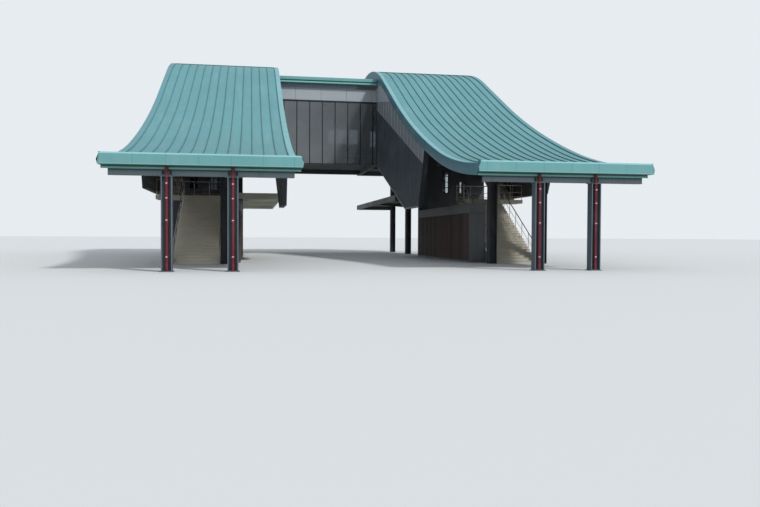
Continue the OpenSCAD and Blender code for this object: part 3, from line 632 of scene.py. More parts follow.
def along_cuts(profile):
    """Profile carried over each cut length of the roof, so that open joints are left between them."""
    return join(*[along_roof(profile, np.linspace(a, b, 6)) for a, b in CUTS])


def on_edges(run, profile):
    """A profile with x from the roof's edge inwards, which run carries along both edges."""
    profile = np.array(profile)
    return join(run(profile + [EDGE_IN, 0]), run(profile * [-1, 1] + [EDGE_OUT, 0]))


# Side boards of both verges, with a drip fold at the foot
verge_boards = on_edges(along_cuts, [[0.0, 0.012 - VERGE_D], [0.006, -VERGE_D], [0.05, -VERGE_D],
                                     [0.05, 0.04 - VERGE_D], [0.02, 0.05 - VERGE_D], [0.02, 0.03],
                                     [0.0, 0.03]])
# Flat caps, folded down over the board and turned up at the roof side
verge_caps = on_edges(along_cuts, [[0.0, 0.03], [0.0, 0.052], [0.008, CAP_H], [CAP_W - 0.008, CAP_H],
                                   [CAP_W, 0.052], [CAP_W, 0.004], [CAP_W - 0.02, 0.004],
                                   [CAP_W - 0.02, 0.04], [0.02, 0.04], [0.02, 0.03]])
# Dark timber and membrane behind the joints of boards and caps
BACKED = np.linspace(GUTTER_D + 0.005, LENGTH - 0.02, 120)
verge_backing = on_edges(lambda profile: along_roof(profile, BACKED),
                         [[0.022, 0.06 - VERGE_D], [0.08, -VERGE_D], [0.08, -0.004], [CAP_W - 0.03, -0.004],
                          [CAP_W - 0.03, 0.036], [0.022, 0.036]])

hall_piece("verge_boards", verge_boards, VERGE_SIDE, ["verges"])
hall_piece("verge_caps", verge_caps, VERGE_TOP_PAINTED_HIGHLIGHT)
hall_piece("verge_backing", verge_backing, DARK_GAP)


@in_halls(VERGE_SIDE)
def rear_board():
    """Board and cap across the rear edge of the roof, in lengths of about 1.3 m."""
    z, y = ogee(LENGTH)[0], REAR_Y
    outline = [[y + 0.01, z - VERGE_D], [LENGTH, z - VERGE_D + 0.01], [LENGTH, z + 0.05],
               [y + 0.07, z + CAP_H], [y - 0.2, z + CAP_H], [y - 0.2, z + 0.002],
               [y, z + 0.002], [y + 0.01, z - 0.2]]
    ends = np.linspace(EDGE_IN + 0.01, EDGE_OUT - 0.01, 7)
    return join(*[bar(outline, 0, a + 0.004, b - 0.004) for a, b in zip(ends[:-1], ends[1:])])


# Front eaves


def nose(z):
    """How far an end of the fascia stands out at a height: most at its crease."""
    return np.interp(z, [FASCIA_Z, CREASE_Z, FASCIA_TOP - HEM_H], [0.045, 0.08, 0.0])


@in_halls(FASCIA, ["front_gutter"])
def fascia():
    """Flat front between a bottom hem and a top hem that leans back, with ends that follow the crease."""
    bottom = np.array([[0.03, 0], [0.006, 0], [0, 0.008], [0, 0.03], [0.006, 0.036]]) + [0, FASCIA_Z]
    top = np.array([[0.006, -HEM_H], [0.006, -0.078], [0, -0.07], [0.052, -0.004], [0.06, 0], [0.075, 0],
                    [0.075, -0.03], [0.03, -0.07], [0.03, -HEM_H]]) + [0, FASCIA_TOP]
    back = [[0.03, CREASE_Z], [0.03, FASCIA_Z + 0.03]]
    y, z = np.vstack([bottom, [[0.006, CREASE_Z]], top, back]).T
    points, quads, _ = skin(np.stack([rows(EDGE_IN - nose(z), y, z), rows(EDGE_OUT + nose(z), y, z)]))
    return points, quads, np.split(np.arange(2 * len(y)), 2)


@in_halls(VERGE_SIDE)
def fascia_ends():
    """Creased returns that close the gutter at both ends, as far back as the verges."""
    z = np.array([FASCIA_Z, FASCIA_Z + 0.01, CREASE_Z - 0.012, CREASE_Z, CREASE_Z + 0.01,
                  FASCIA_TOP - HEM_H, FASCIA_TOP - 0.006, FASCIA_TOP])
    out = nose(z) - [0.006, 0, 0, 0.002, 0, 0, 0, 0.004]
    outline = np.vstack([rows(-out, z), [[0.06, FASCIA_TOP], [0.06, FASCIA_Z]]])
    return on_edges(lambda profile: bar(profile, 1, 0.031, GUTTER_D - 0.005), outline)


@in_halls(TROUGH)
def gutter_trough():
    """Gutter behind the fascia: a folded trough with a rounded bottom, over a flat underside."""
    t = np.linspace(np.pi, 2 * np.pi, 13)
    inner, outer = [rows(TROUGH_Y + (0.16 + r) * np.cos(t), TROUGH_Z + (0.13 + r) * np.sin(t))
                    for r in (0, 0.005)]
    front, back = FASCIA_TOP - 0.05, TROUGH_Z + 0.05
    outline = np.vstack([[[0.07, front]], inner, [[0.39, back], [0.395, back]], outer[::-1],
                         [[0.065, front]]])
    a, b, top = EDGE_IN + 0.06, EDGE_OUT - 0.06, FASCIA_Z + 0.025
    return join(bar(outline, 0, a, b),
                blocks((a, [0.42, 0.031], [top, FASCIA_Z]), (b, GUTTER_D, [TROUGH_Z - 0.04, top])))


@in_halls(LIP)
def roof_nosing():
    """Edge of the roof sheet at the eaves, folded down into the gutter."""
    outline = np.array([[0.34, -0.1], [0.34, -0.09], [0.385, 0], [0.395, 0.03], [0.402, 0.03], [0.402, -0.1]])
    return bar(outline + [0, EAVE_Z], 0, EDGE_IN + CAP_W, EDGE_OUT - CAP_W)


@in_halls(LIP)
def fascia_lip():
    """Folded lip under the recess, with its edges turned back."""
    outline = [[GUTTER_D, LIP_Z], [0.428, LIP_Z], [0.42, LIP_Z + 0.008], [0.42, LIP_TOP - 0.008],
               [0.428, LIP_TOP], [GUTTER_D, LIP_TOP]]
    return bar(outline, 0, EDGE_IN + 0.02, EDGE_OUT - 0.02)


# Board in the recess between the fascia and its lip, dark with painted shade
recess_board = blocks([EDGE_IN + 0.04, 0.44, LIP_TOP - 0.01], [EDGE_OUT - 0.04, GUTTER_D, FASCIA_Z + 0.01])

hall_piece("fascia_recess", recess_board, PAINTED_SHADE_RECESS)


@in_halls(BEAM, ["eave_beam"], bevel=0.003)
def eave_beam_steel():
    """Channel over the front columns: a flat web in front of two flanges, with stiffeners behind it and a
    wide cap plate on each column."""
    top, low, front = under_roof(EAVE_BEAM_Y, DECK_T + RAFTER_D), EAVE_BEAM_Z, EAVE_BEAM_Y
    back, start, end = EAVE_BEAM_Y + EAVE_BEAM_W, EDGE_IN + EAVE_INSET, EDGE_OUT - EAVE_INSET
    half = np.array([[0.022, -0.02], [EAVE_BEAM_W, -0.02], [EAVE_BEAM_W, 0.0], [0.0, 0.0], [0.0, -0.02],
                     [0.01, -0.02]])
    section = np.vstack([half + [front, top], (half * [1, -1] + [front, low])[::-1]])
    at = np.append(np.linspace(start + 0.006, end - 0.006, 7), beside(FRONT_COL_XS, COL_W / 2))
    stiffeners = blocks((at - 0.006, front + 0.02, low + 0.018),
                        (at + 0.006, back - 0.01, top - 0.018))
    x, half_w = FRONT_COL_XS, 0.31
    caps = blocks((x - half_w, front, low - 0.02), (x + half_w, back, low - 0.001))
    bolts = bolt_heads(places(beside(x, half_w - 0.045), front + np.array([0.06, 0.18]), low - 0.034), 2)
    return join(bar(section, 0, start, end), stiffeners, caps, bolts)


@in_halls(DARK_STEEL, bevel=0.003)
def eave_beam_plates():
    """Dark plates on the web of the eave beam beside each rain pipe, with two bolts each."""
    x, y, z = beside(FRONT_COL_XS, 0.155), EAVE_BEAM_Y, EAVE_BEAM_Z
    return join(blocks((x - 0.045, y, z + 0.05), (x + 0.045, y + 0.012, z + 0.21)),
                bolt_heads(places(x, y - 0.006, [z + 0.09, z + 0.17]), 1, 0.012, 0.008))


def h_post(x, y, low, high, lap=0.0):
    """Rolled H post with flanges that face sideways, between a base plate with bolt heads and a cap plate.
    With a lap, the base plate is that much wider and the bolts are anchor bolts."""
    outline, half = i_section(COL_D, COL_W, FLANGE_T, WEB_T, 0.024)[:, ::-1], COL_W / 2
    out = half + np.array([lap, 0])
    plates = blocks((x - out, [y - lap, y], [low, high - PLATE_T]),
                    (x + out, [y + COL_D + lap, y + COL_D], [low + BASE_T, high]))
    spots = places(beside(x, 0.11), y + COL_D / 2 + np.array([-0.17, -0.08, 0.08, 0.17]), low + BASE_T)
    parts = [bar(outline + [x, y + COL_D / 2], 2, low + BASE_T, high - PLATE_T), plates]
    parts.append(bolt_heads(spots, 2, 0.02, 0.02))
    if lap:
        parts.append(repeat(prism(10, 0.011, 2, 0.045), spots))
    return join(*parts)


def at_columns(make):
    """One part made at the x of each front column."""
    return join(*[make(x) for x in FRONT_COL_XS])


front_posts = at_columns(lambda x: h_post(x, FRONT_COL_Y, 0.0, EAVE_BEAM_Z - PLATE_T, 0.06))
hall_piece("front_posts", front_posts, FRONT_STEEL, ["front_columns"], bevel=0.003)


def under_beam(y):
    """Height of the underside of a cross beam at station y."""
    return under_roof(y, DECK_T + RAFTER_D) - BEAM_D


@in_halls(DARK_STEEL, ["inner_columns"], bevel=0.003)
def inner_posts():
    """Posts beside the foot of the stair, under the concourse floor and on it."""
    storeys = [(FOOT_BEAM_Y, 0.0, under_beam(FOOT_BEAM_Y))] + [(y, 0.0, SKIRT_Z) for y in FLOOR_ROWS]
    storeys += [(y, FLOOR_Z, under_beam(y)) for y in FLOOR_ROWS]
    xs = (STAIR_IN - 0.01 - COL_W / 2, STAIR_OUT + 0.01 + COL_W / 2)
    return join(*[h_post(x, *storey) for x in xs for storey in storeys])


def rain_pipe(x):
    """Straight round pipe up into the gutter, with collars at its joints and at its top."""
    collars = [tube(rows(x, PIPE_Y, [z, z + 0.012, z + 0.07, z + 0.085]), [0.071, 0.078, 0.078, 0.071], 24)
               for z in (1.96, 3.8)]
    return join(tube(rows(x, PIPE_Y, [BASE_T, FASCIA_Z]), PIPE_R, 24), *collars)


def pipe_clips(x):
    """Two-part clips round the pipe, each with ears, bolts and a short arm to the web."""
    z = CLIP_ZS
    bands = repeat(tube(rows(x, PIPE_Y, [0.0, 0.06]), 0.077, 24), rows(0, 0, z))
    ears = blocks((x - 0.105, PIPE_Y - 0.012, z + 0.005), (x + 0.105, PIPE_Y + 0.012, z + 0.055))
    arms = blocks((x - 0.02, PIPE_Y + PIPE_R, z + 0.012), (x + 0.02, EAVE_BEAM_Y - 0.002, z + 0.048))
    return join(bands, ears, arms, bolt_heads(places(beside(x, 0.09), PIPE_Y - 0.026, z + 0.03), 1, 0.009))


def clip_locks(x):
    """Pale lock plates in front of the clips: a rounded plate with a bolt head."""
    plate = bar(circle(12, 0.045, 0.026) + [x, 0.03], 1, PIPE_Y - 0.086, PIPE_Y - 0.07)
    return join(repeat(plate, rows(0, 0, CLIP_ZS)),
                bolt_heads(rows(x, PIPE_Y - 0.094, CLIP_ZS + 0.03), 1, 0.012, 0.009))


def pipe_feet(x):
    """Cast foot of the pipe: a flange, and a wide socket that narrows to the pipe."""
    z = BASE_T + np.array([0.0, 0.02, 0.021, 0.22, 0.25, 0.27])
    return tube(rows(x, PIPE_Y, z), [0.105, 0.105, 0.082, 0.082, 0.078, 0.071], 24)


hall_piece("pipes", at_columns(rain_pipe), PIPE, ["rain_pipes"])
hall_piece("pipe_clips", at_columns(pipe_clips), PIPE)
hall_piece("clip_locks", at_columns(clip_locks), CLIP)
hall_piece("pipe_feet", at_columns(pipe_feet), PIPE)


@in_halls(DARK_STEEL, ["rafters"])
def rafter_steel():
    """Curved I beams under the deck, in lengths that meet over the cross beams at splice plates."""
    section = i_section(0.25, RAFTER_D, 0.018, 0.012, 0.018) - [0, DECK_T + RAFTER_D / 2]
    plate = np.array([[0.006, -0.39], [0.018, -0.39], [0.018, -0.2], [0.006, -0.2]])
    splices = [y + COL_D / 2 for y in (FOOT_BEAM_Y, LANDING_Y, *FLOOR_ROWS)]
    spans = list(zip([GUTTER_D] + [y + 0.01 for y in splices], splices + [REAR_Y]))
    parts = []
    for x in (WALL_IN + 0.125, *FRONT_COL_XS, WALL_OUT - 0.125):
        parts += [along_roof(section + [x, 0], np.linspace(a, b, 16)) for a, b in spans]
        parts += [along_roof(plate * [s, 1] + [x, 0], beside(y, 0.2)) for y in splices for s in (-1, 1)]
    return join(*parts)


# Walls

WALL_FRONT_Z = under_roof(WALL_FRONT_Y, DECK_T + RAFTER_D)
SIDES = ((WALL_IN, -1, INNER_LOW), (WALL_OUT, 1, OUTER_LOW))
ALONG, UP = [1, 0, 0], [0, 0, 1]


def wall_low(y, low_z):
    """Underside of a side wall: down the slanted front edge, square to the roof's steepest slope, then level
    at low_z, then rising to the floor's skirt at the bridge."""
    rise = (SKIRT_Z - INNER_LOW) / (BRIDGE_Y - WALL_RISE_Y)
    level = np.clip(SKIRT_Z - (BRIDGE_Y - y) * rise, low_z, SKIRT_Z)
    return np.maximum(level, WALL_FRONT_Z - (y - WALL_FRONT_Y) / math.tan(STEEP))


def toe(low_z):
    """Station where the slanted front edge meets the level underside."""
    return WALL_FRONT_Y + (WALL_FRONT_Z - low_z) * math.tan(STEEP)


def upright(front, back, y, low, high):
    """Upright sheet along the tracks, from low to high and from the x of its front to its back."""
    corners = ((front, low), (front, high), (back, high), (back, low))
    return skin(np.stack([rows(x, y, z) for x, z in corners], 1))


def ribbed_sheet(side, *spans):
    """Sheet on a side wall over spans of stations, with a rib 14 mm deep every 0.22 m."""
    face, way, low_z = side
    cell = np.array([[0.0, 0], [0.42, 0], [0.54, 1], [0.84, 1], [0.96, 0]])
    parts = []
    for y_a, y_b in spans:
        count = round((y_b - y_a) / 0.22)
        y = (np.arange(count)[:, None] + cell[:, 0]).ravel() * (y_b - y_a) / count + y_a
        y, out = np.append(y, y_b), np.append(np.tile(cell[:, 1], count), 0) * 0.014
        low, high = wall_low(y, low_z) + 0.01, under_roof(y, WALL_DEPTH)
        parts.append(upright(face + way * (0.006 + out), face + way * 0.002, y, low, high))
    return join(*parts)


front_y, rear_y = WALL_FRONT_Y + 0.04, REAR_Y - 0.02
inner_sheet = ribbed_sheet(SIDES[0], (front_y, BRIDGE_Y - 0.03), (BRIDGE_REAR_Y + 0.03, rear_y))
hall_piece("inner_cladding", inner_sheet, CLAD_ZONED)
hall_piece("outer_cladding", ribbed_sheet(SIDES[1], (front_y, rear_y)), CLAD_ZONED)


@in_halls(TRIM)
def wall_trims():
    """Flashings of the side walls: along the underside, and on the line between the two colours."""
    strip = np.array([[0.0, -0.05], [0.022, -0.045], [0.03, 0.0], [0.022, 0.02], [0.0, 0.025]])
    foot = np.array([[-0.05, -0.012], [0.028, -0.012], [0.028, 0.06], [0.022, 0.06], [0.02, 0.0],
                     [-0.05, 0.0]])
    parts = []
    for face, way, low_z in SIDES:
        y = np.array([COLOUR_Y, BRIDGE_Y - 0.02])
        parts.append(carry(strip * [way, 1] + [face, 0], rows(0, y, colour_line(y)), ALONG, UP))
        y = np.append(np.linspace(toe(low_z), BRIDGE_Y, 40), REAR_Y if way > 0 else BRIDGE_Y + 0.001)
        parts.append(carry(foot * [way, 1] + [face, 0], rows(0, y, wall_low(y, low_z)), ALONG, UP))
    return join(*parts)


@in_halls(DARK_STEEL)
def wall_front_trims():
    """Dark flashings down the slanted front edges, and over the corner of inner wall and bridge."""
    fold = np.array([[-0.25, -0.01], [-0.25, 0.012], [0.034, 0.012], [0.034, -0.07], [0.022, -0.07],
                     [0.022, -0.01]])
    parts = []
    for face, way, low_z in SIDES:
        path = [[0, WALL_FRONT_Y, WALL_FRONT_Z - 0.02], [0, toe(low_z), low_z]]
        parts.append(carry(fold * [way, 1] + [face, 0], path, ALONG, [0, -math.cos(STEEP), -math.sin(STEEP)]))
    corner = np.array([[0.0, -0.16], [-0.03, -0.15], [-0.036, 0.0], [0.0, 0.0]]) + [WALL_IN, BRIDGE_Y - 0.03]
    return join(*parts, bar(corner, 2, SKIRT_Z, GLASS_TOP))


@in_halls(BAND)
def band_returns():
    """Panels that carry the bridge's band onto the side wall and fall evenly until they meet the verge."""
    y = np.linspace(BRIDGE_Y - 0.04, BAND_END_Y, 60)
    top, low = np.minimum(BAND_TOP, under_roof(y, WALL_DEPTH)), GLASS_TOP - BAND_FALL * (BRIDGE_Y - y)
    keep = top > low + 0.02
    return upright(WALL_IN - 0.034, WALL_IN - 0.01, y[keep], low[keep], top[keep])


# Bridge

POST_XS = np.concatenate([[-WALL_IN + 0.03], np.arange(-3.38, 4.0), [WALL_IN - 0.03]])
REAR_POST_XS = np.linspace(-WALL_IN + 0.03, WALL_IN - 0.03, 9)
FIRST_PANE = 5


def panes(xs, y, low_z, high_z):
    """Panes or panels between the posts of a facade."""
    return blocks((xs[:-1] + 0.01, y, low_z), (xs[1:] - 0.01, y + 0.03, high_z))


def front_frame():
    """Frame of the front facade: posts behind the joints of the glass, and the boards behind the band, in
    the recess over it, and at the sill and the floor."""
    y, back = BRIDGE_Y, BRIDGE_Y + 0.25
    posts = blocks((POST_XS - 0.028, y + 0.04, SKIRT_Z), (POST_XS + 0.028, back - 0.08, GLASS_TOP))
    boards = blocks((-WALL_IN, y + np.array([0.002, 0.06, 0.005, 0.04]),
                         [GLASS_TOP, BAND_TOP, SKIRT_Z, FLOOR_Z + 0.002]),
                    (WALL_IN, [back, back, back, back - 0.06],
                         [BAND_TOP, RECESS_TOP, SKIRT_Z + 0.05, FLOOR_Z + 0.12]))
    return join(posts, boards)


def pressure_caps():
    """Dark caps over the joints of the glass, and the dark flashings over and under the glass."""
    y, head = BRIDGE_Y, GLASS_TOP - 0.12
    cap = np.array([[-0.032, 0.005], [-0.032, -0.012], [-0.022, -0.022], [0.022, -0.022], [0.032, -0.012],
                    [0.032, 0.005]]) + [0, y]
    sill = [[y - 0.015, SKIRT_Z - 0.01], [y + 0.02, SKIRT_Z - 0.01], [y + 0.02, SKIRT_Z + 0.05],
            [y - 0.015, SKIRT_Z + 0.04]]
    return join(*[bar(cap + [x, 0], 2, SKIRT_Z, GLASS_TOP - 0.08) for x in POST_XS[1:-1]],
                blocks([-WALL_IN, y - 0.012, head], [WALL_IN, y + 0.02, head + 0.11]),
                bar(sill, 0, -WALL_IN, WALL_IN))


def band_panels(y):
    """Flat panels of the band over a facade, two metres long, with rounded edges and open joints."""
    ends = np.array([-WALL_IN, -2.5, -0.5, 1.5, 3.5, WALL_IN])
    return blocks((ends[:-1] + 0.006, y, GLASS_TOP + 0.005),
                  (ends[1:] - 0.006, y + 0.028, BAND_TOP - 0.005))


def bridge_louvres():
    """Sloping blades at the right-hand end of the recess over the band, front and rear."""
    blade = np.array([[0.045, 0.03], [0.0, 0.0], [0.0, 0.008], [0.045, 0.038]])
    faces = ((BRIDGE_Y + 0.012, 1), (BRIDGE_REAR_Y - 0.012, -1))
    return join(*[bar(blade * [way, 1] + [y, z], 0, 2.3, WALL_IN - 0.1)
                  for z in np.arange(BAND_TOP + 0.03, 13.3, 0.085) for y, way in faces])


def bridge_roof_sheet():
    """Flat roof of the bridge: a sheet with standing seams along the tracks over a slab."""
    y_a, y_b, top = BRIDGE_Y - OVERHANG, BRIDGE_REAR_Y + OVERHANG, BRIDGE_ROOF_TOP
    outline = np.array([[0.0, -0.045], [0.04, -0.045], [0.03, 0.0], [0.01, 0.0]]) + [0, top]
    xs = np.linspace(-EDGE_IN + 0.02, EDGE_IN - 0.06, 14)
    return join(blocks([-EDGE_IN, y_a + 0.06, RECESS_TOP], [EDGE_IN, y_b - 0.06, top - 0.04]),
                *[bar(outline + [x, 0], 1, y_a + 0.1, y_b - 0.1) for x in xs])


def across_bridge(outline):
    """Outline of (depth from the edge, height over the roof) along both ends of the bridge roof."""
    edges = ((BRIDGE_Y - OVERHANG, 1), (BRIDGE_REAR_Y + OVERHANG, -1))
    return join(*[bar(np.array(outline) * [way, 1] + [y, BRIDGE_ROOF_TOP], 0, -EDGE_IN, EDGE_IN)
                  for y, way in edges])


# Fascias of the bridge roof: a folded upper strip, a lower strip, and a recess between them, dark with
# painted shade
upper_strips = across_bridge([[0.02, 0.0], [0, -0.03], [0, -0.235], [0.012, -0.25], [0.09, -0.25],
                              [0.16, 0.0]])
lower_strips = across_bridge([[0.02, -0.355], [0.008, -0.365], [0.008, -0.44], [0.02, -0.46], [0.09, -0.46],
                              [0.09, -0.355]])
recess_strips = across_bridge([[0.07, -0.45], [0.1, -0.45], [0.1, -0.2], [0.07, -0.2]])
front_panes = panes(POST_XS, BRIDGE_Y + 0.004, SKIRT_Z + 0.06, GLASS_TOP - 0.02)
rear_panes = panes(REAR_POST_XS[FIRST_PANE:], BRIDGE_REAR_Y - 0.14, STRIP_Z, STRIP_TOP)
rear_panels = panes(REAR_POST_XS[:FIRST_PANE + 1], BRIDGE_REAR_Y - 0.14, STRIP_Z, STRIP_TOP)

piece("bridge_frame", front_frame(), RECESS_GREY, ["bridge_front_frame"], bevel=0.004)
piece("bridge_panes", front_panes, GLASS, ["bridge_front_glass"])
piece("bridge_glass_caps", pressure_caps(), GASKET)
piece("bridge_rear_panes", rear_panes, CLEAR_GLASS, ["bridge_rear_glass"])
piece("bridge_rear_panels", rear_panels, RECESS_GREY, bevel=0.003)
piece("bridge_front_band", band_panels(BRIDGE_Y - 0.03), BAND, bevel=0.006)
piece("bridge_rear_band", band_panels(BRIDGE_REAR_Y + 0.002), BAND, bevel=0.006)
piece("bridge_louvres", bridge_louvres(), DARK_STEEL)
piece("bridge_roof_sheet", bridge_roof_sheet(), ROOF_PANS, ["bridge_roof"])
piece("bridge_fascia_upper", upper_strips, FASCIA)
piece("bridge_fascia_lower", lower_strips, LIP)
piece("bridge_fascia_recess", recess_strips, PAINTED_SHADE_RECESS)

# Stairs

WAIST = 0.2
DROP = WAIST / math.cos(math.atan(RISER / GOING))
FLIGHTS = ((STAIR_IN, STAIR_OUT, STAIR_Y, 0.0), (UPPER_IN, ROOM_OUT, UPPER_Y, LANDING_Z))


def flight(y, z, soffit):
    """Outline of a flight in (y, z): treads with rounded nosings 15 mm over their risers, and a soffit."""
    step = np.array([[0.004, -RISER], [0.004, -0.03], [-0.012, -0.03], [-0.015, -0.022], [-0.015, -0.008],
                     [-0.008, 0], [0.03, 0], [0.032, -0.004], [0.062, -0.004], [0.064, 0]]) + [y, z + RISER]
    top = [step + [i * GOING, i * RISER] for i in range(STEPS)]
    return np.vstack(top + [[[y + STEPS * GOING, z + STEPS * RISER]], soffit])


@in_halls(CONCRETE, ["stair_slab", "stair_steps"])
def stair_flights():
    """Both flights and the landing between them."""
    lower = flight(STAIR_Y, 0.0, [[LANDING_Y, LANDING_Z - DROP], [STAIR_Y + DROP * GOING / RISER, 0.001],
                                  [STAIR_Y + 0.004, 0.001]])
    under = LANDING_Z - WAIST
    upper = flight(UPPER_Y, LANDING_Z, [[FLOOR_Y, FLOOR_Z - DROP],
                                        [UPPER_Y + (DROP - WAIST) * GOING / RISER, under],
                                        [UPPER_Y + 0.004, under]])
    return join(bar(lower, 0, STAIR_IN, STAIR_OUT), bar(upper, 0, UPPER_IN, ROOM_OUT),
                blocks([STAIR_IN, LANDING_Y, LANDING_Z - DROP], [ROOM_OUT, UPPER_Y, LANDING_Z]))


@in_halls(DARK_STEEL)
def grip_strips():
    """Dark grip strip let into each tread behind its nosing."""
    parts = []
    for x_a, x_b, y, z in FLIGHTS:
        y, z = y + np.arange(STEPS) * GOING, z + np.arange(1, STEPS + 1) * RISER
        parts.append(blocks((x_a + 0.12, y + 0.034, z - 0.004), (x_b - 0.12, y + 0.06, z + 0.001)))
    return join(*parts)


def rail_posts(feet):
    """Round posts on flanges at rows of feet."""
    return join(repeat(tube([[0, 0, 0], [0, 0, RAIL_H - 0.02]], 0.02), feet),
                repeat(tube([[0, 0, 0.0], [0, 0, 0.008], [0, 0, 0.014]], [0.045, 0.045, 0.03]), feet))


def flight_rail(x, y, z):
    """Railing of a flight: posts, a round handrail with turned-down ends and a knee rail."""
    i = np.arange(0, STEPS, 4)
    feet = rows(x, y + (i + 0.5) * GOING, z + (i + 1) * RISER)
    start, end = feet[0] + [0, 0, RAIL_H], feet[-1] + [0, 0, RAIL_H]
    turn = start + [[0, -0.1, -0.35], [0, -0.16, -0.28], [0, -0.18, -0.12], [0, -0.12, -0.04], [0, 0, 0]]
    return join(rail_posts(feet), tube(np.vstack([turn, end, end + [0, 0.08, 0.02]]), RAIL_R, 16),
                tube([start - [0, 0, 0.45], end - [0, 0, 0.45]], KNEE_R))


def level_rail(x_a, x_b, y, z):
    """Railing of a level edge: posts under a handrail, with two lower rails."""
    bays = math.ceil((x_b - x_a) / (4 * GOING))
    rails = [tube(rows([x_a - 0.03, x_b + 0.03], y, z + h), r, 16)
             for h, r in ((RAIL_H, RAIL_R), (RAIL_H / 2, KNEE_R), (0.2, KNEE_R))]
    return join(rail_posts(rows(np.linspace(x_a, x_b, bays + 1), y, z)), *rails)


@in_halls(STAINLESS, ["stair_railings"])
def stair_rails():
    """Railings of both flights, of the landing's edges and of the floor's edge, 60 mm from each edge."""
    inset = 0.06
    return join(*[flight_rail(x, y, z) for x_a, x_b, y, z in FLIGHTS for x in (x_a + inset, x_b - inset)],
                level_rail(STAIR_OUT + inset, ROOM_OUT - inset, LANDING_Y + inset, LANDING_Z),
                level_rail(STAIR_IN + inset, UPPER_IN - inset, UPPER_Y - inset, LANDING_Z),
                level_rail(ROOM_IN + inset, UPPER_IN - inset, FLOOR_Y + inset, FLOOR_Z))


# Ground level and windows


@in_halls(PALE_STONE, bevel=0.003)
def stair_side_panels():
    """Upright panels with 6 mm joints under the foot of the stair; their tops follow its soffit."""
    y = np.linspace(STAIR_Y + DROP * GOING / RISER + 0.03, PANEL_END_Y, 6)
    top = (y - STAIR_Y) * RISER / GOING - DROP - JOINT
    return join(*[bar([[y[i] + JOINT, 0.002], [y[i + 1] - JOINT, 0.002], [y[i + 1] - JOINT, top[i + 1]],
                       [y[i] + JOINT, top[i]]], 0, STONE_OUT + 0.035, STAIR_IN - 0.004) for i in range(5)])


@in_halls(STONE, bevel=0.003)
def stone_slabs():
    """Upright slabs on both long sides of the stone wall, 0.6 m wide with 6 mm joints."""
    y = np.linspace(STONE_Y, FLOOR_Y, round((FLOOR_Y - STONE_Y) / SLAB_W) + 1)
    return join(*[blocks((x, y[:-1] + JOINT, SLAB_LOW), (x + 0.023, y[1:] - JOINT, SLAB_TOP))
                  for x in (STONE_IN - 0.025, STONE_OUT + 0.002)])


@in_halls((STONE, PALE_STONE), bevel=0.003)
def stone_end():
    """Slabs on the front end of the stone wall."""
    x = np.linspace(STONE_IN - 0.025, STONE_OUT + 0.025, 3)
    return blocks((x[:-1] + JOINT, STONE_Y - 0.025, SLAB_LOW),
                  (x[1:] - JOINT, STONE_Y - 0.002, SLAB_TOP))


@in_halls(PALE_STONE, bevel=0.006)
def stone_course():
    """Pale course over the slabs with its coping, and a plinth under them."""
    a, b, y, top = STONE_IN - 0.03, STONE_OUT + 0.03, STONE_Y - 0.03, STONE_H - 0.03
    back = np.array([0.0, 0.018, -0.02])
    return blocks((a + back, [y, y + 0.012, y - 0.02], [SLAB_TOP + 0.02, 0.0, top]),
                  (b - back, FLOOR_Y, [top, 0.11, STONE_H + 0.012]))


def window_bars(x, y, z, columns, levels, frame_w, bar_w):
    """Frame of a window between pairs of x, y and z, and glazing bars between its equal panes."""
    xs, zs = np.linspace(*x, columns + 1), np.linspace(*z, levels + 1)
    w, h = [np.array([frame_w] + [bar_w / 2] * (count - 1) + [frame_w]) for count in (columns, levels)]
    return join(blocks((np.maximum(xs - w, x[0]), y[0], z[0]),
                       (np.minimum(xs + w, x[1]), y[1], z[1])),
                blocks((x[0], y[0] + 0.003, np.maximum(zs - h, z[0])),
                       (x[1], y[1] - 0.003, np.minimum(zs + h, z[1]))))


back_bars = join(*[window_bars(x, (FLOOR_Y + 0.08, FLOOR_Y + 0.17), z, 2, levels, 0.05, 0.05)
                   for x, z, levels in BACK_WINDOWS])
rear_bars = window_bars((ROOM_IN + 0.9, ROOM_OUT - 0.9), (REAR_Y - 0.18, REAR_Y - 0.07),
                        (FLOOR_Z + 1.0, GLASS_TOP), 6, 2, 0.07, 0.06)
strip_bars = join(*[window_bars((a + 0.01, b - 0.01), (BRIDGE_REAR_Y - 0.16, BRIDGE_REAR_Y - 0.06),
                                (STRIP_Z, STRIP_TOP), 1, 1, 0.035, 0.03)
                    for a, b in zip(REAR_POST_XS[:-1], REAR_POST_XS[1:])])

hall_piece("back_window_frames", back_bars, DARK_STEEL, bevel=0.004)
hall_piece("rear_window_frames", rear_bars, TRIM, bevel=0.004)
piece("strip_window_frames", strip_bars, TRIM, bevel=0.004)

# Finishes of the solids that stay
kept = {"bridge_deck": SOFFIT_PAINTED_SHADE, "bridge_rear_frame": CLAD_PLAIN, "hall_window_glass": CLEAR_GLASS}
# The left canopy takes painted light, the right one painted shade.
for side, canopy in (("left", CANOPY_PAINTED_LIGHT), ("right", CANOPY_PAINTED_SHADE)):
    for node, finish in {"cross_beams": DARK_STEEL, "inner_wall": LINER, "outer_wall": LINER,
                         "doorway_wall": LINER, "rear_wall": CLAD_PLAIN, "back_wall": CLAD_PLAIN,
                         "hall_floor": SOFFIT_PAINTED_SHADE, "stone_wall": DARK_GAP, "platform_canopy": canopy,
                         "battens": CLAD_BATTENS}.items():
        kept[f"{side}_{node}"] = finish
for node, finish in kept.items():
    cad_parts[node].data.materials.clear()
    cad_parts[node].data.materials.append(finish.material)

# Stage, light and camera

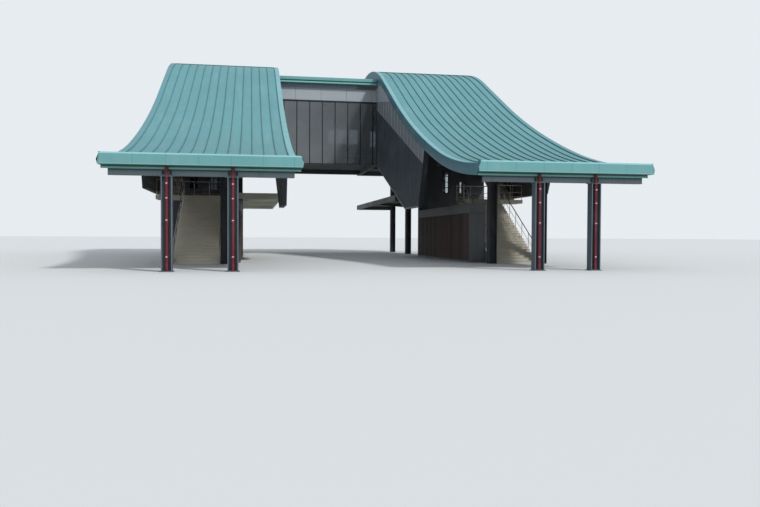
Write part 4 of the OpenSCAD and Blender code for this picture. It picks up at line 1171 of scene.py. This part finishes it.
corners = [(-400, -300, -0.004), (400, -300, -0.004), (400, 600, -0.004), (-400, 600, -0.004)]
floor_mesh = bpy.data.meshes.new("stage_floor")
floor_mesh.from_pydata(corners, [], [(0, 1, 2, 3)])
add_object("stage_floor", floor_mesh)
floor_finish = Finish("pale_floor", (222, 223, 222), 0.9)
floor_finish.colour = linear((176, 174, 168))
floor_finish.shade(floor_finish.node("LightPath", {}, "Is Camera Ray"), (222, 223, 222))
floor_mesh.materials.append(floor_finish.material)

world = bpy.data.worlds.new("studio")
bpy.context.scene.world = world
world.use_nodes = True
tree = world.node_tree
sky = tree.nodes["Background"]
sky.inputs["Color"].default_value = (0.86, 0.93, 1.0, 1.0)
sky.inputs["Strength"].default_value = 0.62
plain = add_node(tree, "Background", {"Color": (0.8, 0.84, 0.87, 1.0)})
direct, through = [add_node(tree, "LightPath", {}, f"Is {kind} Ray") for kind in ("Camera", "Transmission")]
seen = add_node(tree, "Math", {0: direct, 1: through}, operation="MAXIMUM")
mix = add_node(tree, "MixShader", {0: seen, 1: sky.outputs[0], 2: plain})
tree.links.new(mix, tree.nodes["World Output"].inputs["Surface"])

sun = add_object("key_light", bpy.data.lights.new("key_light", "SUN"))
sun.data.energy, sun.data.angle = 2.05, math.radians(6)
sun.rotation_mode = "QUATERNION"
sun.rotation_quaternion = Vector((0.5, -0.7, 0.74)).to_track_quat("Z", "Y")


def camera_turn(yaw, pitch, roll):
    """Camera axes: forward turned right of +Y by yaw and up by pitch, then rolled about itself."""
    level = math.cos(pitch)
    forward = Vector((math.sin(yaw) * level, math.cos(yaw) * level, math.sin(pitch)))
    right = forward.cross(Vector((0, 0, 1))).normalized()
    up = right.cross(forward)
    c, s = math.cos(roll), math.sin(roll)
    return Matrix((right * c + up * s, up * c - right * s, -forward)).transposed().to_quaternion()


camera = add_object("camera", bpy.data.cameras.new("camera"))
camera.data.lens, camera.data.sensor_width = 35.64, 36.0
camera.data.clip_end = 900.0
camera.rotation_mode = "QUATERNION"
camera.rotation_quaternion = camera_turn(math.radians(9.77), math.radians(-1.33), math.radians(0.263))
camera.location = (-5.945, -50.82, 1.5)
bpy.context.scene.camera = camera
bpy.context.scene.view_settings.view_transform = "Standard"
